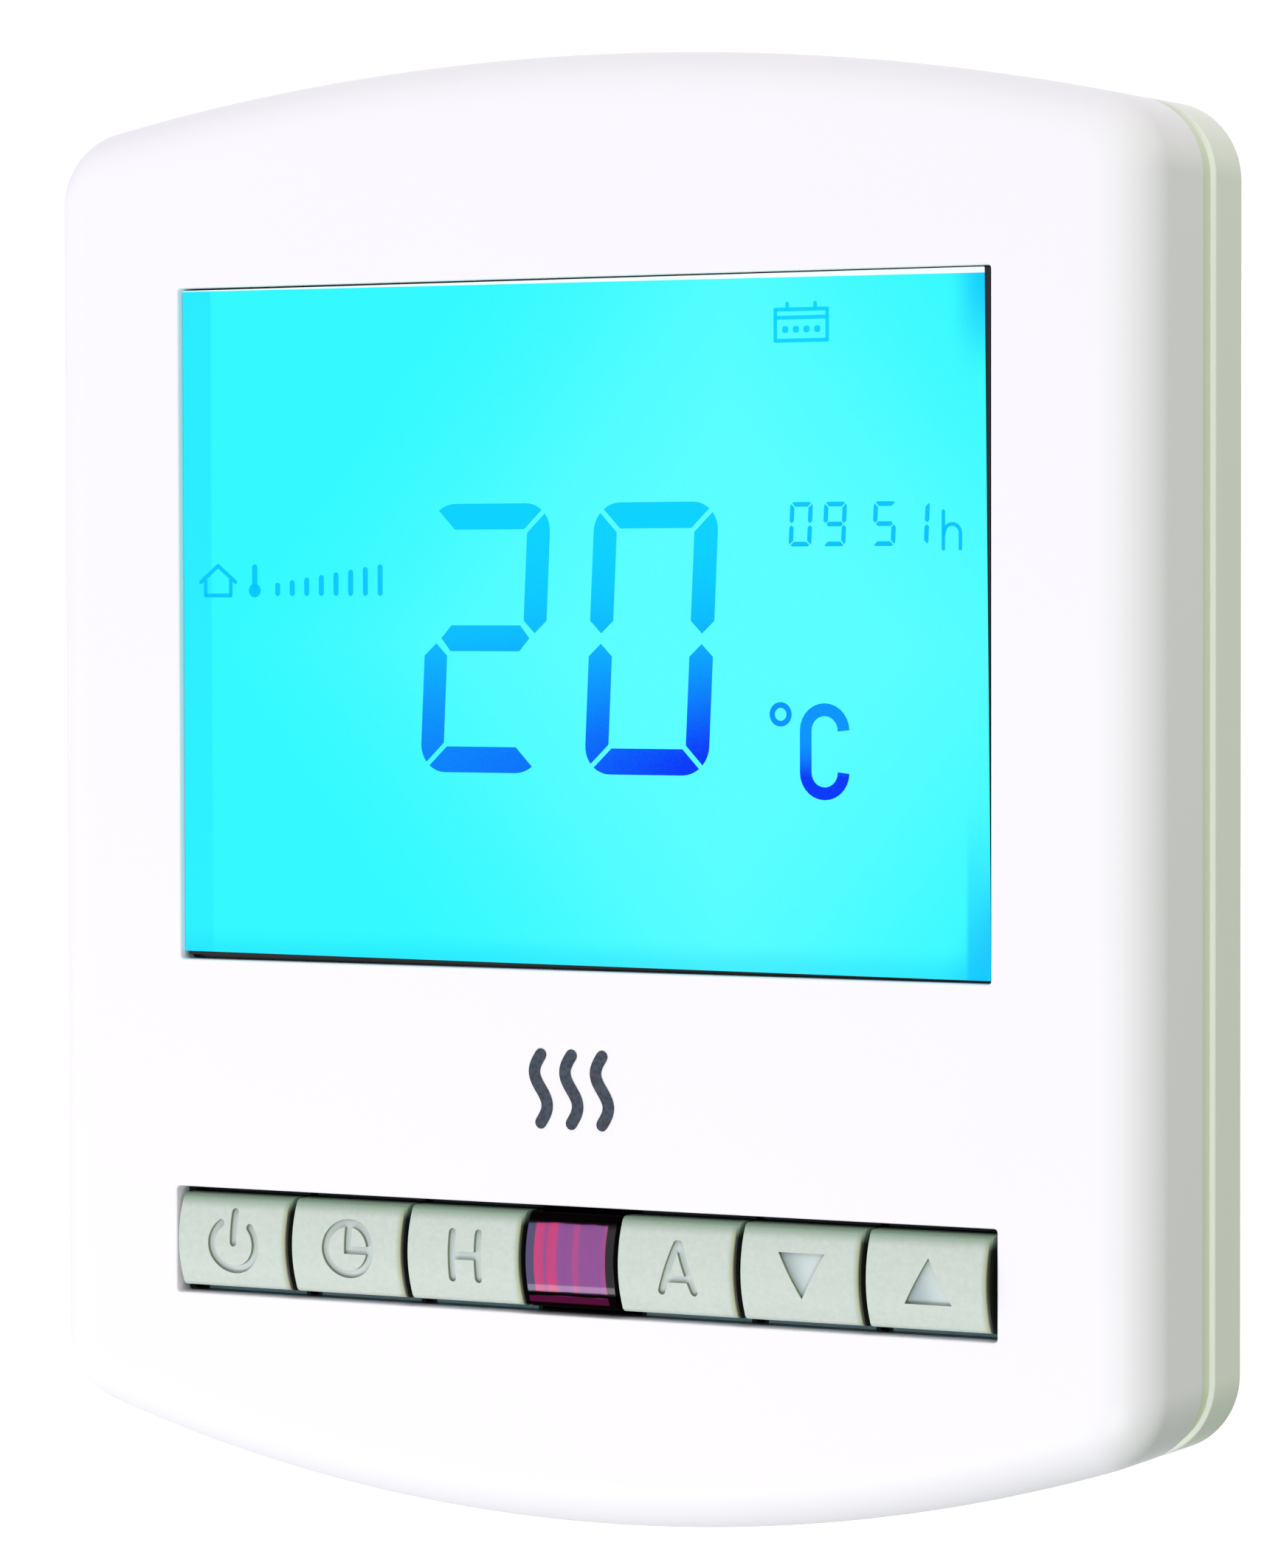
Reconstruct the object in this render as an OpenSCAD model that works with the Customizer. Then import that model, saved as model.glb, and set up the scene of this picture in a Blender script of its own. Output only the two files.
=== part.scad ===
// Wall-mounted heating timer: a front half with display and keys, hung on a wall plate.
// X runs across the front and Z runs up. The wall is the plane y = 0, and the front faces -Y.
// The origin is midway between the two fixing slots, on the wall.

/* [Case] */
// Width across the flat sides
body_w = 86; // [86:1:92]
// Height over the crowned top and bottom
body_h = 102; // [102:1:108]
// Depth from the wall to the front face
body_d = 16.5; // [16.5:0.5:18]
// Rise of the crowned top edge
top_rise = 5; // [4:0.5:6]
// Drop of the crowned bottom edge
bottom_drop = 7.5; // [6.5:0.5:8.5]
// Radius of the outline's corners
corner_r = 5.5; // [5.5:0.1:7]
// Radius of the rounded edge around the front face
edge_r = 3.6; // [3:0.1:3.8]
// Wall thickness of the case
wall = 2; // [1.8:0.1:2]

/* [Seam] */
// Depth of the wall plate's visible side
plate_side = 4.8; // [4.6:0.1:5]
// Width of the shallow groove along the seam
groove_w = 2; // [1.8:0.1:2.2]
// Depth of the groove
groove_in = 0.35; // [0.2:0.05:0.5]

/* [Display] */
// Width of the display opening
display_w = 63.5; // [62:0.5:64]
// Height of the display opening
display_h = 47.8; // [46:0.2:48]
// Height of the display's middle above the origin
display_z = 11.6; // [11:0.1:12]

/* [Keys] */
// Width of the key opening
keys_w = 64.4; // [64.4:0.1:65]
// Height of the key opening
keys_h = 7.6; // [7.6:0.1:8]
// Height of the key row's middle below the origin
keys_z = -32.4; // [-33:0.1:-32]
// Width of one key
key_w = 9.1; // [8.7:0.1:9.1]
// Width of the infrared window
window_w = 6.9; // [6.5:0.1:6.9]
// Gap between neighbouring keys
key_gap = 0.35; // [0.3:0.05:0.35]
// How far the keys stand proud of the front face
key_proud = 0.4; // [0.2:0.1:0.6]

/* [Fixing] */
// Distance between the fixing slots
slot_spacing = 60.3; // [60.3:0.1:61]
// Width of a fixing slot
slot_w = 4.2; // [4:0.1:4.4]
// End-to-end length of a fixing slot
slot_len = 7; // [6:0.5:7]

/* [Rear box] */
// Width of the box that reaches into the wall box
rear_w = 52; // [52:0.5:53]
// Depth of the box behind the wall plane
rear_d = 20; // [20:0.5:24]

/* [Hidden] */
$fn = 48;

// Outline of the case: two crowned arcs, flat sides and round corners
top_r = (pow(body_w / 2, 2) + pow(top_rise, 2)) / (2 * top_rise);
bottom_r = (pow(body_w / 2, 2) + pow(bottom_drop, 2)) / (2 * bottom_drop);
top_centre = body_h / 2 - top_r;
bottom_centre = bottom_r - body_h / 2;
corner_x = body_w / 2 - corner_r;
top_corner_z = top_centre + sqrt(pow(top_r - corner_r, 2) - pow(corner_x, 2));
bottom_corner_z = bottom_centre - sqrt(pow(bottom_r - corner_r, 2) - pow(corner_x, 2));
top_turn = atan2(top_corner_z - top_centre, corner_x);
bottom_turn = atan2(bottom_corner_z - bottom_centre, corner_x);
arc_steps = 10;
corner_steps = 8;

// Depths, counted along Y from the wall
front_y = -body_d;
face_t = 1.7;
face_inside = front_y + face_t;
ledge_y = -plate_side;
seam_y = ledge_y - groove_w;
seam_gap = 0.15;
plate_t = 1.8;
lip_in = wall + 0.3;
lip_t = 1.5;
lip_y = seam_y - 1.8;
board_t = 1.6;
board_front = front_y + 7.8;
board_back = board_front + board_t;
board_in = 5;
board_top = 44.1;
board_bottom = -44.9;

// Display stack, each layer lying on the next
polariser_t = 0.2;
glass_t = 1.1;
film_t = 0.25;
guide_t = 2.8;
rear_glass_y = face_inside + 0.05;
front_glass_y = rear_glass_y - glass_t;
polariser_y = front_glass_y - polariser_t;
rear_polariser_y = rear_glass_y + glass_t;
film_y = rear_polariser_y + polariser_t;
guide_y = film_y + film_t;
reflector_y = guide_y + guide_t;
display_gap = 0.3;
glass_ledge = 2;
strip_w = 1.6;
strip_z = display_h / 2 + 0.9;
frame_in = 1.1;

// Keys: the middle of each key, left to right, with the window between the two threes
key_pitch = key_w + key_gap;
first_key = window_w / 2 + key_gap + key_w / 2;
key_x = [for (i = [-3:2]) i < 0 ? -first_key + (i + 1) * key_pitch : first_key + i * key_pitch];
key_h = 6.6;
key_top_y = front_y - key_proud;
crown_r = 6.8;
flange_y = face_inside + 1.3;
flange_t = 0.8;
flange_h = 8.6;
stem_d = 3;
stem_end = flange_y + flange_t + 0.6;
frame_plate_y = face_inside + 0.1;
frame_plate_t = 1;
engrave = 0.55;
switch_w = 6;
switch_h = 2.4;
plunger_d = 3;
plunger_bore = 3.16;
plunger_end = stem_end + 1.7;
dome_y = board_front - 0.9;

// Posts that carry the control board: x and z of each screw
control_posts = [[-20, 41.6], [20, 41.6], [-33.5, -20.5], [33.5, -20.5], [-22, -40.8], [22, -40.8]];
post_d = 4.8;
pilot_d = 1.9;
shank_d = 1.7;
head_d = 3.8;
head_h = 1.3;

// Rear box and power board
rear_lo = -14;
rear_hi = 30;
rear_corner = 3;
vent_pitch = 4;
vent_w = 1.6;
vent_len = 14;
power_y = 2.5;
power_w = 48;
power_lo = -11.5;
power_hi = 27.5;
power_back = power_y + board_t;
power_posts = [[-21, 1], [21, 1], [-21, 25], [21, 25]];
terminals = 6;
terminal_pitch = 5.08;
terminal_x = -22.6;
terminal_top = -5.5;
socket_x = 16;
socket_z = -7.5;
pins = 5;
pin_pitch = 2.54;
pin_w = 0.64;

// Hooks at the top and the screw at the bottom that hold the two halves together
hook_x = 10;
hook_w = 8;
hook_top = body_h / 2 - 3.5;
hook_arm = body_h / 2 - 6.5;
hook_front = seam_y + 2.8;
hook_t = 1.2;
tab_w = 10;
tab_lo = -body_h / 2 + 3.6;
screw_y = seam_y - 4.4;
screw_head_h = 1;
screw_seat = -body_h / 2 + 1.2;

// Printed mark between the display and the keys
emblem_z = -20.5;
wave_h = 5.6;
wave_w = 0.9;
wave_swing = 0.5;

// A box from its lowest to its highest corner
module block(lo, hi) {
  translate(lo) cube(hi - lo);
}

// A flat shape drawn in X and Z, made solid from y0 to y1
module slab(y0, y1) {
  translate([0, y1, 0]) rotate([90, 0, 0]) linear_extrude(y1 - y0) children();
}

// A round rod along Y
module rod(x, z, y0, y1, d) {
  translate([x, y0, z]) rotate([-90, 0, 0]) cylinder(d = d, h = y1 - y0);
}

// A rectangle about a middle point
module panel(w, h, z = 0, x = 0) {
  translate([x - w / 2, z - h / 2]) square([w, h]);
}

function arc(centre, r, from, to, steps) =
  [for (i = [0:steps]) centre + r * [cos(from + (to - from) * i / steps),
                                     sin(from + (to - from) * i / steps)]];

// Right half of the outline, moved inwards by a distance, from the top to the bottom
function half_outline(inset) = let (r = max(corner_r - inset, 0.5)) concat(
  arc([0, top_centre], top_r - inset, 90, top_turn, arc_steps),
  arc([corner_x, top_corner_z], r, top_turn, 0, corner_steps),
  arc([corner_x, bottom_corner_z], r, 0, bottom_turn, corner_steps),
  arc([0, bottom_centre], bottom_r - inset, bottom_turn, -90, arc_steps));

module outline(inset) {
  right = half_outline(inset);
  last = len(right) - 1;
  polygon(concat(right, [for (i = [last - 1:-1:1]) [-right[i][0], right[i][1]]]));
}

// The outline's ring between two insets
module ring(outer, inner) {
  difference() {
    outline(outer);
    outline(inner);
  }
}

// A solid with the case's outline and a rounded front edge
module rounded_case(inset, y_back, y_front, r) {
  skin = 0.02;
  hull() {
    slab(y_front + r, y_back) outline(inset);
    for (a = [15:15:90])
      slab(y_front + r * (1 - sin(a)), y_front + r * (1 - sin(a)) + skin)
        outline(inset + r * (1 - cos(a)));
  }
}

module front_cover() color([0.96, 0.96, 0.95]) {
  difference() {
    rounded_case(0, seam_y, front_y, edge_r);
    rounded_case(wall, seam_y + 1, face_inside, edge_r - face_t);
    slab(front_y - 1, face_inside + 1) panel(display_w, display_h, display_z);
    slab(front_y - 1, face_inside + 1) panel(keys_w, keys_h, keys_z);
    translate([0, screw_y, -body_h / 2 - 1]) cylinder(d = 2.8, h = 5);
    translate([0, screw_y, screw_seat - 3]) cylinder(d = 5, h = 3);
  }
  for (p = control_posts)
    difference() {
      rod(p[0], p[1], face_inside - 0.5, board_front, post_d);
      rod(p[0], p[1], face_inside + 1, board_front + 1, pilot_d);
    }
  for (side = [-1, 1]) cover_hook(side * hook_x);
  screw_boss();
}

// An arm that reaches back under the wall plate's lip and turns up behind it
module cover_hook(x) {
  web_y = seam_y - 4.85;
  lo = x - hook_w / 2;
  hi = x + hook_w / 2;
  block([lo, web_y, hook_arm], [hi, hook_front + hook_t, hook_arm + 1.5]);
  block([lo, hook_front, hook_arm], [hi, hook_front + hook_t, hook_top]);
  block([lo, web_y, hook_arm], [hi, web_y + 2, body_h / 2 - 1.5]);
}

// Thickening inside the bottom wall, around the retaining screw
module screw_boss() {
  difference() {
    block([-3.2, screw_y - 2, -body_h / 2 + 1.4], [3.2, screw_y + 1.9, -body_h / 2 + 3]);
    translate([0, screw_y, -body_h / 2]) cylinder(d = 2.8, h = 5);
  }
}

module back_cover() color([0.93, 0.93, 0.91]) {
  box_wall = 1.8;
  difference() {
    union() {
      slab(-plate_t, 0) outline(0);
      slab(ledge_y, 0) ring(0, wall);
      slab(seam_y + seam_gap, 0) ring(groove_in, lip_in + lip_t);
      slab(lip_y, 0) ring(lip_in, lip_in + lip_t);
      slab(-plate_t, rear_d) rear_section(0, rear_corner);
    }
    slab(-plate_t - 1, rear_d - box_wall) rear_section(box_wall, rear_corner - box_wall);
    for (i = [-3:3]) slab(rear_d - box_wall - 1, rear_d + 1) vent(i * vent_pitch);
    for (side = [-1, 1]) fixing_slot(side * slot_spacing / 2);
    for (side = [-1, 1]) lip_window(side * hook_x);
    block([-18, -plate_t - 1, -30], [18, 1, -19]);
  }
  for (p = power_posts)
    difference() {
      rod(p[0], p[1], power_back, rear_d - 1, 5);
      rod(p[0], p[1], power_back - 1, rear_d - 3, pilot_d);
    }
  retaining_tab();
}

// Section of the rear box with round corners
module rear_section(inset, r) {
  x = rear_w / 2 - inset - r;
  lo = rear_lo + inset + r;
  hi = rear_hi - inset - r;
  for (cx = [-x, x], cz = [lo, hi]) translate([cx, cz]) circle(r = r);
  panel(2 * x, hi - lo + 2 * r, (hi + lo) / 2);
  panel(2 * (x + r), hi - lo, (hi + lo) / 2);
}

// Round-ended slot that lets warm air out of the rear box
module vent(x) {
  z = (rear_lo + rear_hi) / 2;
  panel(vent_w, vent_len, z, x);
  for (end = [-1, 1]) translate([x, z + end * vent_len / 2]) circle(d = vent_w);
}

module fixing_slot(x) {
  run = (slot_len - slot_w) / 2;
  for (end = [-run, run]) rod(x + end, 0, -plate_t - 1, 1, slot_w);
  block([x - run, -plate_t - 1, -slot_w / 2], [x + run, 1, slot_w / 2]);
}

// Opening in the lip that a hook of the front half turns up into
module lip_window(x) {
  block([x - hook_w / 2 - 1, seam_y, hook_arm - 0.5],
        [x + hook_w / 2 + 1, -plate_t, body_h / 2 - 1.8]);
}

// Tab that the retaining screw's tip bears on
module retaining_tab() {
  block([-tab_w / 2, seam_y - 5.7, tab_lo], [tab_w / 2, seam_y, tab_lo + 1.8]);
}

// Three rising heat waves
module cover_emblem() color([0.12, 0.16, 0.24])
  translate([0, 0, emblem_z]) slab(front_y - 0.05, front_y)
    for (x = [-2.4, 0, 2.4]) translate([x, 0]) heat_wave();

// One wave: a ribbon that follows a sine over its height
module heat_wave() {
  steps = 16;
  centre = [for (i = [0:steps]) [wave_swing * sin(360 * i / steps), wave_h * (i / steps - 0.5)]];
  half = [wave_w / 2, 0];
  polygon(concat([for (p = centre) p - half], [for (i = [steps:-1:0]) centre[i] + half]));
}

module cover_screw() color([0.7, 0.7, 0.72])
  translate([0, screw_y, screw_seat]) difference() {
    union() {
      cylinder(d = 2.4, h = 2);
      translate([0, 0, -screw_head_h]) cylinder(d = 4.6, h = screw_head_h);
    }
    block([-0.4, -3, -screw_head_h - 1], [0.4, 3, -screw_head_h + 0.5]);
  }

module display_polariser() color([0.35, 0.85, 0.95])
  slab(polariser_y, front_glass_y)
    panel(display_w - 2 * display_gap, display_h - 2 * display_gap, display_z);

module display_front_glass() color([0.6, 0.9, 0.95])
  slab(front_glass_y, rear_glass_y)
    panel(display_w - 2 * display_gap, display_h - 2 * display_gap, display_z);

module display_rear_glass() color([0.6, 0.9, 0.95])
  slab(rear_glass_y, rear_polariser_y)
    panel(display_w + 2, display_h + 2 * glass_ledge, display_z);

module rear_polariser() color([0.5, 0.6, 0.6])
  slab(rear_polariser_y, film_y) panel(display_w - 2, display_h - 1.6, display_z);

module diffuser_film() color([0.95, 0.97, 1])
  slab(film_y, guide_y) panel(display_w - 2, display_h - 1.6, display_z);

module light_guide() color([0.8, 0.95, 1])
  slab(guide_y, reflector_y) panel(display_w - 3, display_h - 1.6, display_z);

module reflector_sheet() color([1, 1, 1])
  slab(reflector_y, reflector_y + polariser_t) panel(display_w - 3, display_h - 1.6, display_z);

module display_frame() color([0.9, 0.9, 0.88]) {
  outer_w = display_w + 2 + 2 * frame_in;
  outer_h = display_h + 2 * glass_ledge + 2 * frame_in;
  difference() {
    slab(rear_glass_y + 0.2, board_front) panel(outer_w, outer_h, display_z);
    slab(rear_glass_y, rear_polariser_y)
      panel(display_w + 2.2, display_h + 2 * glass_ledge + 0.2, display_z);
    slab(rear_polariser_y - 0.1, board_front + 1) panel(display_w - 0.6, display_h - 1.2, display_z);
    for (side = [-1, 1])
      slab(rear_polariser_y - 0.1, board_front + 1)
        panel(60, strip_w + 0.2, display_z + side * strip_z);
  }
  for (x = [-32.9, 32.9], z = [display_z - 20, display_z + 20])
    rod(x, z, board_front - 1, board_back + 0.6, 1.8);
}

module contact_strips() color([0.85, 0.6, 0.65])
  for (side = [-1, 1])
    slab(rear_polariser_y, board_front) panel(58, strip_w, display_z + side * strip_z);

module backlight_leds() color([0.85, 0.93, 1])
  for (side = [-1, 1], z = [-15, 0, 15])
    slab(guide_y + 0.3, board_front) panel(0.8, 3.6, display_z + z, side * (display_w / 2 - 1));

// Plate behind the face that guides the keys and keeps their flanges in
module key_frame() color([0.55, 0.6, 0.6])
  difference() {
    slab(frame_plate_y, frame_plate_y + frame_plate_t) panel(keys_w + 3, keys_h + 3.4, keys_z);
    slab(frame_plate_y - 1, frame_plate_y + frame_plate_t + 1) panel(keys_w + 0.2, keys_h, keys_z);
  }

// A bar with its upper face crowned about X, as wide as w
module crowned_bar(x, w, h) {
  intersection() {
    block([x - w / 2, key_top_y - 1, keys_z - h / 2], [x + w / 2, flange_y, keys_z + h / 2]);
    translate([x - w / 2, key_top_y + crown_r, keys_z]) rotate([0, 90, 0])
      cylinder(r = crown_r, h = w, $fn = 96);
  }
}

// A key: crowned cap, rear flange that holds it in, stem, and its engraved sign
module key(i) color([0.78, 0.8, 0.75]) {
  x = key_x[i];
  difference() {
    crowned_bar(x, key_w, key_h);
    translate([x, key_top_y, keys_z]) slab(-1, engrave) children();
  }
  slab(flange_y, flange_y + flange_t) panel(key_w - 0.2, flange_h, keys_z, x);
  rod(x, keys_z, flange_y + flange_t, stem_end, stem_d);
}

module stroke(from, to, w) {
  turn = atan2(to[1] - from[1], to[0] - from[0]);
  translate(from) rotate(turn) translate([0, -w / 2]) square([norm(to - from), w]);
}

module power_sign() translate([0, -0.15]) {
  difference() {
    circle(d = 4.2);
    circle(d = 3.1);
    polygon([[0, 0], [3 * cos(46), 3 * sin(46)], [3 * cos(123), 3 * sin(123)]]);
  }
  translate([-0.28, -0.15]) square([0.56, 2.7]);
}

module clock_sign() {
  difference() {
    circle(d = 4.2);
    circle(d = 3.1);
  }
  translate([-0.28, -0.35]) square([0.56, 2.2]);
  translate([-0.28, -0.35]) square([2.1, 0.56]);
}

module heat_sign() {
  for (side = [-1, 1]) stroke([side * 1.04, -1.88], [side * 1.04, 1.88], 0.56);
  stroke([-1, 0], [1, 0], 0.56);
}

module auto_sign() {
  for (side = [-1, 1]) stroke([side * 1.26, -1.86], [side * 0.12, 1.86], 0.5);
  stroke([-0.9, -0.78], [0.9, -0.78], 0.45);
}

module arrow_sign(up) {
  polygon([[-1.75, -up * 1.5], [1.75, -up * 1.5], [0, up * 1.65]]);
}

module power_key() key(0) power_sign();
module clock_key() key(1) clock_sign();
module heat_key() key(2) heat_sign();
module auto_key() key(3) auto_sign();
module down_key() key(4) arrow_sign(-1);
module up_key() key(5) arrow_sign(1);

// The moving button of the switch behind a key
module plunger(i) color([0.2, 0.2, 0.2]) rod(key_x[i], keys_z, stem_end, plunger_end, plunger_d);

module power_plunger() plunger(0);
module clock_plunger() plunger(1);
module heat_plunger() plunger(2);
module auto_plunger() plunger(3);
module down_plunger() plunger(4);
module up_plunger() plunger(5);

module switch_bodies() color([0.15, 0.15, 0.16])
  for (x = key_x)
    difference() {
      slab(board_front - switch_h, board_front) panel(switch_w, switch_w, keys_z, x);
      rod(x, keys_z, board_front - switch_h - 1, board_front - 0.5, plunger_bore);
      rod(x, keys_z, dome_y - 0.3, board_front - 0.5, 4.8);
    }

module switch_domes() color([0.75, 0.75, 0.76])
  for (x = key_x) {
    rod(x, keys_z, dome_y + 0.15, dome_y + 0.3, 4.4);
    rod(x, keys_z, dome_y, dome_y + 0.15, 2.6);
  }

module infrared_window() color([0.45, 0.05, 0.12]) {
  crowned_bar(0, window_w, key_h);
  slab(flange_y, flange_y + flange_t) panel(window_w, flange_h, keys_z);
}

module infrared_receiver() color([0.1, 0.08, 0.1]) {
  slab(board_front - 2.2, board_front) panel(5.4, 6.2, keys_z);
  translate([0, board_front - 2.2, keys_z]) sphere(d = 2.8);
}

module control_board() color([0.1, 0.4, 0.2])
  difference() {
    slab(board_front, board_back) intersection() {
      outline(board_in);
      translate([-body_w / 2, board_bottom]) square([body_w, board_top - board_bottom]);
    }
    for (p = control_posts) rod(p[0], p[1], board_front - 1, board_back + 1, 2.2);
    for (x = [-32.9, 32.9], z = [display_z - 20, display_z + 20])
      rod(x, z, board_front - 1, board_back + 1, 2);
  }

// A pan-head screw along Y with its head towards the wall and a cross recess
module board_screw(p, seat, back) {
  tip = back > 0 ? seat - 5 : seat + 5;
  difference() {
    union() {
      rod(p[0], p[1], min(seat, tip), max(seat, tip), shank_d);
      rod(p[0], p[1], min(seat, seat + back * head_h), max(seat, seat + back * head_h), head_d);
    }
    for (w = [[2.2, 0.5], [0.5, 2.2]])
      slab(seat + back * head_h - 0.6, seat + back * head_h + 0.6) panel(w[0], w[1], p[1], p[0]);
  }
}

module control_board_screws() color([0.75, 0.75, 0.76])
  for (p = control_posts) board_screw(p, board_back, 1);

module microcontroller() color([0.12, 0.12, 0.13])
  slab(board_back + 0.1, board_back + 1.5) panel(12, 12, 14, -14);

module microcontroller_legs() color([0.8, 0.8, 0.8])
  for (i = [-5:5], side = [-1, 1]) {
    slab(board_back, board_back + 0.4) panel(0.4, 1, 14 + side * 6.5, -14 + i);
    slab(board_back, board_back + 0.4) panel(1, 0.4, 14 + i, -14 + side * 6.5);
  }

module memory_chip() color([0.12, 0.12, 0.13]) {
  slab(board_back + 0.1, board_back + 1.5) panel(5, 4, 32, 14);
  for (i = [-1.5:1.5], side = [-1, 1])
    slab(board_back, board_back + 0.5) panel(0.45, 1.2, 32 + side * 2.5, 14 + i * 1.27);
}

module clock_crystal() color([0.8, 0.8, 0.82])
  slab(board_back, board_back + 3.4) {
    panel(7, 4.6, 28, -14);
    for (side = [-1, 1]) translate([side * 3.5 - 14, 28]) circle(d = 4.6);
  }

module board_capacitors() color([0.75, 0.6, 0.4])
  for (i = [0:7]) slab(board_back, board_back + 1) panel(1.3, 2.2, -14 + 6 * floor(i / 4), -27 + 4 * (i % 4));

module board_resistors() color([0.08, 0.08, 0.08])
  for (i = [0:11]) slab(board_back, board_back + 0.6) panel(2, 1.2, -38 + 2.6 * (i % 4), -12 + 5 * floor(i / 4));

module backup_battery() color([0.8, 0.8, 0.8])
  rod(15, 14, board_back + 0.3, board_back + 3.3, 20);

module battery_clip() color([0.85, 0.85, 0.8]) {
  slab(board_back + 3.3, board_back + 3.6) panel(24, 5, 14, 15);
  for (side = [-1, 1]) slab(board_back, board_back + 3.6) panel(0.4, 5, 14, 15 + side * 11.8);
  slab(board_back, board_back + 0.3) panel(8, 5, 14, 15);
}

module header_strip() color([0.12, 0.12, 0.12])
  slab(board_back, board_back + 2.5) panel(pins * pin_pitch, 2.5, socket_z, socket_x);

module header_pins() color([0.85, 0.75, 0.4])
  for (i = [0:pins - 1])
    slab(board_back + 2.5, power_y - 2.4)
      panel(pin_w, pin_w, socket_z, socket_x + (i - (pins - 1) / 2) * pin_pitch);

module temperature_sensor() color([0.1, 0.1, 0.12]) {
  translate([30, board_back + 1.6, -34]) sphere(d = 2.4);
  for (side = [-1, 1]) rod(30 + side * 0.6, -34, board_back, board_back + 1.2, 0.5);
}

module power_board() color([0.1, 0.35, 0.2])
  difference() {
    slab(power_y, power_back) panel(power_w, power_hi - power_lo, (power_hi + power_lo) / 2);
    for (p = power_posts) rod(p[0], p[1], power_y - 1, power_back + 1, 2.2);
  }

module power_board_screws() color([0.75, 0.75, 0.76])
  for (p = power_posts) board_screw(p, power_y, -1);

module relay() color([0.15, 0.35, 0.7]) {
  slab(power_back, power_back + 12) panel(15, 19.5, 14, -9.5);
  slab(power_back + 12, power_back + 12.2) panel(14, 18.5, 14, -9.5);
}

module transformer_core() color([0.2, 0.2, 0.2])
  for (side = [-1, 1]) {
    slab(power_back + 1, power_back + 11) panel(4, 17, 15, 8.5 + side * 6.5);
    slab(power_back + 1, power_back + 11) panel(9, 3.5, 15 + side * 6.75, 8.5);
  }

module transformer_winding() color([0.85, 0.6, 0.2]) {
  slab(power_back + 2.2, power_back + 12.2) panel(8.6, 9.6, 15, 8.5);
  slab(power_back, power_back + 1) panel(12, 9, 15, 8.5);
  slab(power_back + 1, power_back + 2.2) panel(8, 9, 15, 8.5);
}

module suppression_capacitor() color([0.9, 0.75, 0.15])
  slab(power_back, power_back + 11) panel(17.5, 6, -7.5, -8);

module smoothing_capacitors() color([0.1, 0.12, 0.3]) {
  rod(11.5, 1, power_back, power_back + 11.5, 8);
  rod(2.5, 0, power_back, power_back + 9, 6.3);
}

module rectifier() color([0.12, 0.12, 0.12])
  slab(power_back, power_back + 8) panel(3.4, 6, -0.5, -3.3);

module fuse_tube() color([0.9, 0.9, 0.85])
  translate([7.5, power_back + 4, -7.5]) rotate([0, 90, 0]) difference() {
    cylinder(d = 4.6, h = 11);
    translate([0, 0, -1]) cylinder(d = 3.6, h = 13);
  }

module fuse_caps() color([0.8, 0.8, 0.8])
  for (x = [3.5, 18.5]) {
    translate([x, power_back + 4, -7.5]) rotate([0, 90, 0]) cylinder(d = 5.2, h = 4);
    slab(power_back, power_back + 4) panel(1.2, 3, -7.5, x + 2);
  }

module varistor() color([0.15, 0.35, 0.6])
  translate([-11, power_back + 6.5, -2]) cylinder(d = 10, h = 3.6);

// Six-way screw terminal: wires enter from below, screws face the front
module terminal_block() color([0.15, 0.45, 0.25])
  difference() {
    block([terminal_x, power_y - 8, power_lo], [terminal_x + terminals * terminal_pitch, power_y, terminal_top]);
    for (i = [0:terminals - 1]) {
      x = terminal_x + (i + 0.5) * terminal_pitch;
      rod(x, -8, power_y - 9, power_y - 6.2, 3.9);
      block([x - 2, power_y - 6.3, power_lo - 1], [x + 2, power_y - 2.2, terminal_top - 1]);
    }
  }

module terminal_clamps() color([0.85, 0.7, 0.35])
  for (i = [0:terminals - 1]) {
    x = terminal_x + (i + 0.5) * terminal_pitch;
    difference() {
      block([x - 1.9, power_y - 6.2, -10.5], [x + 1.9, power_y - 2.3, terminal_top - 1]);
      block([x - 1.4, power_y - 5.2, -12], [x + 1.4, power_y - 2.8, terminal_top]);
    }
  }

module terminal_screws() color([0.8, 0.8, 0.82])
  for (i = [0:terminals - 1]) {
    x = terminal_x + (i + 0.5) * terminal_pitch;
    difference() {
      rod(x, -8, power_y - 7.6, power_y - 6.2, 3.5);
      block([x - 2, power_y - 8, -8.25], [x + 2, power_y - 7, -7.75]);
    }
  }

module board_socket() color([0.12, 0.12, 0.12])
  difference() {
    slab(power_y - 5.5, power_y) panel(pins * pin_pitch + 2, 5, socket_z, socket_x);
    slab(power_y - 6.5, power_y - 1) panel(pins * pin_pitch, 2.8, socket_z, socket_x);
  }

front_cover();
back_cover();
cover_emblem();
cover_screw();
display_polariser();
display_front_glass();
display_rear_glass();
rear_polariser();
diffuser_film();
light_guide();
reflector_sheet();
display_frame();
contact_strips();
backlight_leds();
key_frame();
infrared_window();
infrared_receiver();
control_board();
control_board_screws();
switch_bodies();
switch_domes();
microcontroller();
microcontroller_legs();
memory_chip();
clock_crystal();
board_capacitors();
board_resistors();
backup_battery();
battery_clip();
header_strip();
header_pins();
temperature_sensor();
power_key();
clock_key();
heat_key();
auto_key();
down_key();
up_key();
power_plunger();
clock_plunger();
heat_plunger();
auto_plunger();
down_plunger();
up_plunger();
power_board();
power_board_screws();
relay();
transformer_core();
transformer_winding();
suppression_capacitor();
smoothing_capacitors();
rectifier();
fuse_tube();
fuse_caps();
varistor();
terminal_block();
terminal_clamps();
terminal_screws();
board_socket();
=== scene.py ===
from contextlib import contextmanager
from math import asin, atan2, cos, hypot, pi, radians, sin, sqrt

import bmesh
import bpy
from mathutils import Matrix, Vector


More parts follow.
